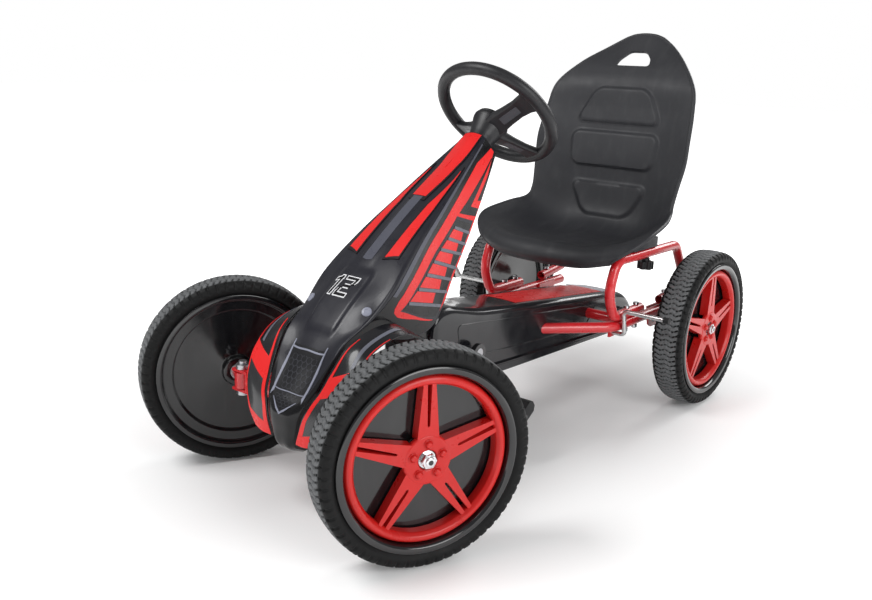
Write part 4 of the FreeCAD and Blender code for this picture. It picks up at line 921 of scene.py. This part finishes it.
def louvre_layers():
    """The dark ladder panel on each side, its narrow frame, and the black arrow above it."""
    frame_left = [(9.0, 0.6), (10, 0.64), (11, 0.61), (12.16, 0.54)]
    frame_right = [(10.0, 0.04), (10.6, 0.05), (11.4, 0.05), (12.3, 0.05)]
    inner_left = [(9.1, 0.585), (10, 0.62), (11, 0.59), (12.1, 0.52)]
    inner_right = [(10.06, 0.06), (10.6, 0.065), (11.4, 0.065), (12.22, 0.065)]
    arrow = [
        (
            [(12.24, 0.52), (12.4, 0.49), (12.5, 0.46), (13.75, 0.21)],
            [(12.4, 0.03), (12.56, 0.03), (12.5, 0.28), (13.75, 0.17)],
        ),
        ([(12.68, 0.14), (13.85, 0.04)], [(12.72, 0.02), (13.85, 0.02)]),
    ]
    return [
        ("nose_louvre_frame", "cell", 0.75, [(frame_left, frame_right)]),
        ("nose_louvre_back", "black", 0.9, [(inner_left, inner_right)]),
        ("nose_arrow", "black", 0.85, arrow),
    ]


def straight_patch(panel, corners, high):
    """A flat four-sided slab on the panel's side; corners are places and run round it."""
    a, b, c, d = corners
    lift = panel.normal(*LOUVRE_MIDDLE)
    if a.x < 0:
        lift = reflected(lift)
    grids = []
    for height in (high, high - LOUVRE_THICK):
        rows = []
        for i in range(9):
            low, top = a.lerp(b, i / 8), d.lerp(c, i / 8)
            rows.append([low.lerp(top, k / 3) + lift * height * MM for k in range(4)])
        grids.append(rows)
    return slab(*grids)


def reflected(place):
    return Vector((-place.x, place.y, place.z))


def louvre_cell(front, rear, next_front, next_rear):
    """The red cell between two bars, with its rear end short of the bars' rear ends."""
    low = rear.lerp(front, 0.3).lerp(next_rear.lerp(next_front, 0.3), 0.14)
    top = rear.lerp(front, 0.38).lerp(next_rear.lerp(next_front, 0.38), 0.86)
    return front.lerp(next_front, 0.14), low, top, front.lerp(next_front, 0.86)


def add_louvres(panel):
    """Straight grey bars with red cells between them, dark at their rear ends."""
    ends = [(panel.point(*front), panel.point(*rear)) for front, rear in LOUVRE_BARS]
    bars = []
    for front, rear in ends:
        across = (rear - front).cross(panel.normal(*LOUVRE_MIDDLE)).normalized()
        half = across * LOUVRE_HALF_WIDTH * MM
        bars.append((front - half, rear - half, rear + half, front + half))
    cells = [louvre_cell(*this, *following) for this, following in zip(ends, ends[1:])]
    layers = (("nose_louvre_cells", "red", 1.3, cells), ("nose_louvre_bars", "grey", 1.7, bars))
    for name, colour, high, shapes in layers:
        both = shapes + [tuple(reflected(p) for p in corners) for corners in shapes]
        print_and_highlight_layer(name, "nose_grey", colour, [straight_patch(panel, corners, high) for corners in both])


HEXAGON_STEP_U = 0.245
HEXAGON_STEP_V = 0.33


def hexagon_fits(u, v):
    """Whether a hexagon there is inside the mesh's border and clear of its cross line."""
    edge = 1.95 - 0.12 * min(max(u - 5, 0), 1.0) if u > 4.1 else 1.95 + (4.1 - u) * 1.2
    return u <= 6.6 and abs(v - 3) <= 3 - edge - 0.26 and abs(u - 4.95) >= 0.12


def hexagon(u, v, size):
    """A closed hexagon about (u, v), with its first corner again at the end."""
    reach_u = HEXAGON_STEP_U * 1.3 * size
    reach_v = HEXAGON_STEP_V * 1.12 * size
    corners = [math.radians(60 * k) for k in range(7)]
    return [(u + reach_u * math.cos(a), v + reach_v * math.sin(a)) for a in corners]


def add_hexagons(panel):
    """The raised lines of the hexagon mesh on the lower front."""
    shapes = []
    for i in range(-1, 16):
        for j in range(-4, 5):
            u = 3.5 + i * HEXAGON_STEP_U
            v = 3 + (j + 0.5 * (i % 2)) * HEXAGON_STEP_V
            if hexagon_fits(u, v):
                shapes.append(patch(panel, hexagon(u, v, 0.52), hexagon(u, v, 0.43), 0.85, 0.3))
    print_and_highlight_layer("nose_hexagons", "nose_grey", "cell", shapes)


def flipped(edge):
    return [(u, 6 - v) for u, v in edge]


def add_nose():
    panel = Panel([mirrored(row) for row in NOSE], nose_across)
    us = np.linspace(0, 13.97, 141)
    vs = np.concatenate([np.linspace(0, 0.86, 7), np.linspace(0.89, 1.11, 7), np.linspace(1.16, 3, 26)])
    vs = np.concatenate([vs, 6 - vs[-2::-1]])
    mesh = mesh_from("NoseCover", *panel.wall(us, vs, 2.3, number_lift), 40)
    piece("nose_cover_detail", mesh, "frame", "nose_grey", ["nose_cover"])
    for name, colour, high, edges in nose_layers():
        shapes = [patch(panel, first, second, high) for first, second in edges]
        shapes += [patch(panel, flipped(first), flipped(second), high) for first, second in edges]
        print_and_highlight_layer(name, "nose_grey", colour, shapes)
    add_louvres(panel)
    add_hexagons(panel)
    add_nose_plugs(panel)
    add_number(panel)


def add_nose_plugs(panel):
    """The two push-in plugs beside the number."""
    dome = lathe([(0.01, -1), (6.6, -1), (7.2, 0), (6.6, 1.3), (3.4, 2.0), (2.8, 1.4), (0.01, 1.4)], 32)
    shapes = []
    for v in (1.45, 4.55):
        turn = panel.normal(8.17, v).to_track_quat("Z", "Y").to_matrix().to_4x4()
        shapes.append(moved(dome, Matrix.Translation(panel.point(8.17, v)) @ turn))
    print_and_highlight_layer("nose_plugs", "nose_grey", "silver", shapes)


# Ends of each stroke, as (right, up) shares of a digit's height
DIGIT_STROKES = {
    "1": [((0.35, 0.0), (0.35, 1.0)), ((0.1, 0.8), (0.35, 1.0))],
    "2": [
        ((0.0, 1.0), (0.8, 1.0)), ((0.8, 1.0), (0.8, 0.52)), ((0.8, 0.5), (0.0, 0.5)),
        ((0.0, 0.48), (0.0, 0.0)), ((0.0, 0.0), (0.85, 0.0)),
    ],
}


def digit_place(x, y, left):
    """Where a point of a leaning digit is on the panel; left is the digit's left side."""
    return 8.36 + y * 0.56, left - x * 0.5 - 0.12 * y


def digit_strokes(panel, half, high):
    """The strokes of the number as patches; half is half a stroke's width, in rows of the panel."""
    shapes = []
    for digit, left in (("1", 3.66), ("2", 3.24)):
        for (x0, y0), (x1, y1) in DIGIT_STROKES[digit]:
            u0, v0 = digit_place(x0, y0, left)
            u1, v1 = digit_place(x1, y1, left)
            if abs(x1 - x0) < abs(y1 - y0):
                first = [(u0 - half, v0 - half), (u1 + half, v1 - half)]
                second = [(u0 - half, v0 + half), (u1 + half, v1 + half)]
            else:
                first = [(u0 - half, v0 + half), (u1 - half, v1 - half)]
                second = [(u0 + half, v0 + half), (u1 + half, v1 - half)]
            shapes.append(patch(panel, first, second, high, 2.0))
    return shapes


def add_number(panel):
    """A plain start number on the raised panel, white with a dark middle."""
    print_and_highlight_layer("start_number", "nose_grey", "white", digit_strokes(panel, 0.078, 2.95))
    print_and_highlight_layer("start_number_core", "nose_grey", "black", digit_strokes(panel, 0.042, 3.1))


# ---------------------------------------------------------------- side wings

# Each row is (inner edge, middle, outer edge) of the left wing, from the front's foot to the rear
WING = (
    ((23, -62, 113), (42, -63, 114), (60, -60, 118)),
    ((29, -63, 132), (53, -62, 134), (76, -57, 137)),
    ((34, -61, 152), (61, -59, 153), (88, -51, 154)),
    ((42, -55, 172), (69, -53, 172), (95, -46, 172)),
    ((49, -43, 190), (74, -43, 190), (98, -40, 190)),
    ((55, -27, 217), (78, -28, 217), (100, -26, 216)),
    ((62, -4, 247), (81, -3, 247), (100, 2, 242)),
    ((71, 36, 266), (86, 38, 262), (100, 40, 255)),
    ((74, 74, 266), (87, 75, 262), (100, 76, 255)),
    ((72, 112, 246), (86, 113, 244), (100, 115, 240)),
)
# Printed patches as (row, column) with column 0 at the inner edge and 2 at the outer edge
WING_PRINTS = (
    ("red_edges", "red", 0.7, (
        (
            [(0.15, 0.06), (2, 0.12), (4, 0.15), (6.4, 0.28)],
            [(0.15, 0.5), (2, 0.36), (4, 0.4), (6.4, 0.34)],
        ),
        ([(0.2, 1.6), (2, 1.84), (4, 1.86), (7, 1.9)], [(0.2, 1.96), (2, 1.96), (4, 1.96), (7, 1.96)]),
    )),
    ("red_band", "red", 0.6, (
        ([(3.6, 0.3), (4.5, 1.9)], [(4.75, 0.3), (5.35, 1.9)]),
        ([(0.05, 0.08), (0.05, 1.92)], [(0.85, 0.4), (1.25, 1.88)]),
    )),
    ("carbon", "carbon", 0.45, (([(0.8, 0.36), (3.7, 0.36)], [(1.2, 1.9), (4.6, 1.9)]),)),
    ("streak", "grey", 0.45, (([(5.3, 1.3), (7.6, 1.0)], [(5.35, 1.52), (7.9, 1.3)]),)),
)


def add_wings():
    for name, side in (("left", 1), ("right", -1)):
        rows = [[(side * x, y, z) for x, y, z in row] for row in WING]
        if side > 0:
            rows = [row[::-1] for row in rows]
        panel = Panel(rows, lambda v: curve_weights(v, 0, 2, 3))
        node = f"side_wing_{name}"
        mesh = mesh_from(node, *panel.wall(np.linspace(0, 9, 73), np.linspace(0, 2, 25), 2.3), 40)
        bevel(piece(node + "_detail", mesh, "frame", "wing_black", [node]), 0.9, 2)
        for kind, colour, high, edges in WING_PRINTS:
            shapes = []
            for pair in edges:
                first, second = ([(u, 2 - v if side > 0 else v) for u, v in edge] for edge in pair)
                shapes.append(patch(panel, first, second, high))
            print_and_highlight_layer(f"{node}_{kind}", "wing_black", colour, shapes)


# ---------------------------------------------------------------- chain guard

# The upper shell's outline from the side, as (Y, Z)
GUARD_TOP = (
    (186, 150), (188, 212), (192, 238), (208, 252), (234, 254), (309, 235), (421, 221), (709, 191),
    (789, 177), (822, 152), (828, 116),
)
GUARD_FRONT = 184
GUARD_REAR = 832
FRONT_JOINT = 141
REAR_JOINT = 106
GUARD_CORNER = 12
GUARD_CROWN = 1.5


def joint_height(y):
    share = (y - GUARD_FRONT) / (GUARD_REAR - GUARD_FRONT)
    return FRONT_JOINT + share * (REAR_JOINT - FRONT_JOINT)


def guard_half_width(y):
    """The guard's half width, rounded in at its front and rear corners."""
    reach = 16
    ends = max(GUARD_FRONT + 2 + reach - y, y - (GUARD_REAR - 4 - reach), 0)
    return 51.5 - reach + math.sqrt(max(reach**2 - min(ends, reach) ** 2, 0))


def guard_surface():
    """Rows of points over the upper shell, from its front joint to its rear joint."""
    profile = rounded(GUARD_TOP, 22, 6, closed=False)
    dense = filled_in(profile, lambda start, end: round(math.dist(start, end) / 9))
    rows = []
    for y, z in dense:
        low = joint_height(y) + 1.6
        half = guard_half_width(y)
        height = max(z - low, 0.2)
        bend = min(GUARD_CORNER, height)
        quarter = np.linspace(0, math.pi / 2, 7)
        corner = [(half - bend + bend * math.sin(a), z - bend + bend * math.cos(a)) for a in quarter]
        side = [(half, z - bend - (z - bend - low) * k / 8) for k in range(1, 9)]
        top = [((half - bend) * k / 8, z + GUARD_CROWN * (1 - (k / 8) ** 2)) for k in range(8)]
        right = top + corner + side
        rows.append([at(-x, y, h) for x, h in reversed(right)] + [at(x, y, h) for x, h in right[1:]])
    return rows


def guard_shell():
    rows = guard_surface()
    inner = [[p - Vector((p.x * 0.045, 0, 2.2 * MM)) for p in row] for row in rows]
    return slab(rows, inner)


def guard_flange():
    """The flat rim at the joint, a rounded rectangle that follows the joint's slope."""
    corners = rounded([(-56.5, 185), (56.5, 185), (56.5, 831), (-56.5, 831)], 14, 6)
    hole = rounded([(-48, 192), (48, 192), (48, 824), (-48, 824)], 10, 6)
    rings = []
    for outline, lift in ((corners, 0.2), (corners, 2.1), (hole, 2.1), (hole, 0.2)):
        rings.append([at(x, y, joint_height(y) + lift) for x, y in outline])
    return [p for ring in rings for p in ring], ring_faces(len(rings), len(corners))


def side_relief():
    """The raised panel line moulded into both sides of the guard."""
    low, high, start, end = 0.24, 0.74, 262, 640
    corners = []
    for y, share in ((start, low), (end, low), (end + 36, high), (start - 14, high)):
        base = joint_height(y)
        corners.append((y, base + (guard_top_at(y) - base) * share))
    outline = rounded(corners, 14, 5)
    return joined(*[bead_along([at(x, y, z) for y, z in outline], 1.1, 6) for x in (51.4, -51.4)])


def guard_top_at(y):
    for (y0, z0), (y1, z1) in zip(GUARD_TOP, GUARD_TOP[1:]):
        if y0 <= y <= y1:
            return z0 + (z1 - z0) * (y - y0) / (y1 - y0)
    return GUARD_TOP[-1][1]


def top_height(x, y):
    half = guard_half_width(y) - GUARD_CORNER
    return guard_top_at(y) + GUARD_CROWN * (1 - min(abs(x) / half, 1) ** 2)


def top_patch(edges, lift):
    """A printed patch on top of the guard; edges are (y, x of one edge, x of the other) rows."""
    rows = filled_in(edges, lambda start, end: round((end[0] - start[0]) / 12))
    grids = []
    for extra in (lift, -0.6):
        grid = []
        for y, a, b in rows:
            places = [a + (b - a) * k / 8 for k in range(9)]
            grid.append([at(x, y, top_height(x, y) + extra) for x in places])
        grids.append(grid)
    return slab(*grids)


def add_guard():
    shell = mesh_from("GuardUpper", *joined(guard_shell(), guard_flange(), side_relief()), 40)
    piece("chain_guard_upper_detail", shell, "frame", "guard_black", ["chain_guard_upper"])
    red = top_patch([(430, -30, 33), (560, -33, 36), (716, -24, 38)], 0.5)
    light = top_patch([(716, -40, 39), (770, -36, 36)], 0.5)
    print_and_highlight_layer("guard_red_panel", "guard_black", "red", [red])
    print_and_highlight_layer("guard_front_panel", "guard_black", "silver", [light])


# ---------------------------------------------------------------- seat

# Each row is (side edge, halfway, middle), from the front lip to the top
SEAT = (
    ((132, 568, 281), (80, 553, 270), (0, 548, 268)),
    ((150, 570, 297), (85, 545, 287), (0, 538, 285)),
    ((172, 592, 318), (90, 563, 306), (0, 556, 305)),
    ((180, 625, 334), (95, 610, 303), (0, 605, 304)),
    ((172, 690, 346), (95, 680, 301), (0, 680, 302)),
    ((158, 735, 354), (90, 735, 306), (0, 738, 306)),
    ((154, 748, 372), (82, 768, 333), (0, 774, 333)),
    ((157, 757, 404), (80, 783, 391), (0, 786, 391)),
    ((162, 766, 442), (82, 787, 440), (0, 789, 440)),
    ((162, 772, 480), (85, 796, 489), (0, 798, 489)),
    ((157, 790, 530), (82, 806, 532), (0, 807, 532)),
    ((147, 806, 577), (78, 814, 578), (0, 816, 578)),
    ((112, 838, 618), (62, 833, 608), (0, 834, 608)),
    ((72, 872, 648), (38, 862, 640), (0, 862, 640)),
    ((37, 887, 669), (21, 889, 675), (0, 890, 677)),
)
# Raised pads as (height below, half width there, height above, half width there)
SEAT_PADS = ((503, 95, 574, 58), (419, 90, 490, 97), (324, 50, 392, 88))


PAD_CORNER = 20
PAD_HEIGHT = 5.5
SEAT_WALL = 5


def pad_share(x, z):
    """How far a place on the backrest is inside one of the pads, from 0 to 1."""
    best = 0.0
    for low, low_half, high, high_half in SEAT_PADS:
        t = min(max((z - low) / (high - low), 0), 1)
        side = low_half + (high_half - low_half) * t - abs(x)
        ends = min(z - low, high - z)
        corner = PAD_CORNER
        inset = corner - math.hypot(max(corner - side, 0), max(corner - ends, 0))
        best = max(best, float(ramp(inset, -1, 6)))
    return best


def seat_lift(panel):
    """Extra height outside the seat's surface: the backrest's pads."""

    def lift(u, v):
        if u < 5.5 or u > 12.6:
            return 0.0
        place = panel.point(u, v) / MM
        return PAD_HEIGHT * pad_share(place.x, place.z)

    return lift


def handle_cutter():
    """A D-shaped plug across the backrest where the fingers go."""
    outline = rounded([(-36, -14), (36, -14), (33, 3), (17, 23), (-17, 23), (-33, 3)], 8, 6)
    shape = prism(outline, -60, 60)
    place = Matrix.Translation(at(0, 849, 624)) @ Matrix.Rotation(math.radians(40), 4, "X")
    return mesh_from("HandleCutter", *moved(shape, place), 40)


def carved(mesh, cutter_mesh, name):
    """The mesh with the cutter's volume taken away."""
    collection = bpy.context.scene.collection
    base = bpy.data.objects.new(name + "Base", mesh)
    cutter = bpy.data.objects.new(name + "Cutter", cutter_mesh)
    collection.objects.link(base)
    collection.objects.link(cutter)
    modify(base, "BOOLEAN", operation="DIFFERENCE", object=cutter, solver="EXACT")
    bpy.context.view_layer.update()
    evaluated = base.evaluated_get(bpy.context.evaluated_depsgraph_get())
    result = bpy.data.meshes.new_from_object(evaluated)
    bpy.data.objects.remove(base)
    bpy.data.objects.remove(cutter)
    return result


def seat_rim(panel):
    """The rolled edge round the seat."""
    path = [panel.point(u, 0.03, -2.6) for u in np.linspace(0.06, 13.94, 120)]
    path += [panel.point(13.94, v, -2.6) for v in np.linspace(0.1, 3.9, 24)]
    path += [panel.point(u, 3.97, -2.6) for u in np.linspace(13.94, 0.06, 120)]
    path += [panel.point(0.06, v, -2.6) for v in np.linspace(3.9, 0.1, 24)]
    return bead_along(path, 3.7, 12)


def add_seat():
    panel = Panel([mirrored(row) for row in SEAT], lambda v: curve_weights(v, 0, 4, 5))
    us = np.linspace(0.06, 13.94, 225)
    vs = np.linspace(0.03, 3.97, 121)
    shell = mesh_from("SeatShell", *panel.wall(us, vs, SEAT_WALL, seat_lift(panel)), 40)
    shell = carved(shell, handle_cutter(), "Seat")
    bevel(piece("seat_shell_detail", shell, "seat", "seat_grey", ["seat_shell"]), 1.8)
    piece("seat_rim", mesh_from("SeatRim", *seat_rim(panel), 60), "seat", "seat_grey")
    feet = []
    for side in (1, -1):
        outline = rounded([(-7, 640), (7, 640), (7, 730), (-7, 730)], 3, 3)
        rings = [[at(side * 135 + x, y, z) for x, y in outline] for z in (294.4, 312)]
        feet.append(loft(rings))
    piece("seat_feet", mesh_from("SeatFeet", *joined(*feet), 40), "seat", "seat_grey")


# ---------------------------------------------------------------- steering wheel

COLUMN_TILT = 42.7
WHEEL_TURN = 25.85


def column_matrix():
    """Local +Z runs up the column to the driver, and local +Y to the wheel's lower spoke."""
    tilt = Matrix.Rotation(math.radians(COLUMN_TILT - 90), 4, "X")
    turn = Matrix.Rotation(math.radians(-WHEEL_TURN), 4, "Z")
    return Matrix.Translation(at(0, 397, 534.5)) @ tilt @ turn


def spoke_ring(radius, height, half_wide, half_thick):
    """A rounded rectangle across a spoke, radius millimetres out from the column."""
    near = [(-half_wide, -half_thick), (half_wide, -half_thick)]
    corners = near + [(half_wide, half_thick), (-half_wide, half_thick)]
    outline = rounded(corners, min(half_wide, half_thick) * 0.7, 4)
    return [Vector((x, radius, height + z)) * MM for x, z in outline]


# Angle about the column and half width of each spoke
SPOKE_PLACES = ((0, 15), (90, 18), (-90, 18))
# Radius, height, extra half width and half thickness, from the hub out
SPOKE_SECTIONS = (
    (15, -31, 0, 10.5), (28, -27, 0, 8.5), (45, -20, -2, 6.8), (66, -12, -3, 6.2), (82, -6, -1, 6.4),
    (92, -2, 3, 6.8),
)
WHEEL_RING = 97.3
WHEEL_GRIP = 10.3


def steering_wheel_shape():
    ring = [(WHEEL_RING + WHEEL_GRIP * math.cos(a), WHEEL_GRIP * math.sin(a)) for a in circle(32)]
    hub = ((8.1, -78), (19, -78), (19, -70), (21, -52), (26, -36), (30, -24), (30, -18), (8.1, -18))
    shapes = [lathe(ring, 176), lathe(rounded(hub, 3, 5), 96)]
    for angle, wide in SPOKE_PLACES:
        rings = [spoke_ring(r, height, wide + extra, thick) for r, height, extra, thick in SPOKE_SECTIONS]
        shapes.append(turned_about(loft(rings), angle))
    return joined(*shapes)


def wheel_cap_shape():
    cap = ((0.01, -17.8), (28, -17.8), (28, -14), (23, -11.5), (12, -10.6), (0.01, -10.5))
    return lathe(rounded(cap, 2, 4), 64)


def spoke_inlay_shape():
    """A thin strip let into each spoke, sloping up from the hub."""
    rings = [spoke_ring(38 + 41 * t, -29.8 + 17.6 * t, 6.6, 0.8) for t in np.linspace(0, 1, 6)]
    return joined(*[turned_about(loft(rings), angle) for angle, wide in SPOKE_PLACES])


def add_steering_wheel():
    place = column_matrix()
    parts = (
        ("steering_wheel", steering_wheel_shape(), "wheel_black"),
        ("wheel_cap", wheel_cap_shape(), "wheel_black"),
        ("spoke_inlays", spoke_inlay_shape(), "trim_grey"),
    )
    for node, shape, slot in parts:
        piece(node + "_detail", mesh_from(node, *shape, 45), "steering", slot, [node], place)


# ---------------------------------------------------------------- put it together

dress_cad_nodes()
add_wheels()
add_nose()
add_wings()
add_guard()
add_seat()
add_steering_wheel()
add_studio()
add_camera()

bpy.context.view_layer.update()
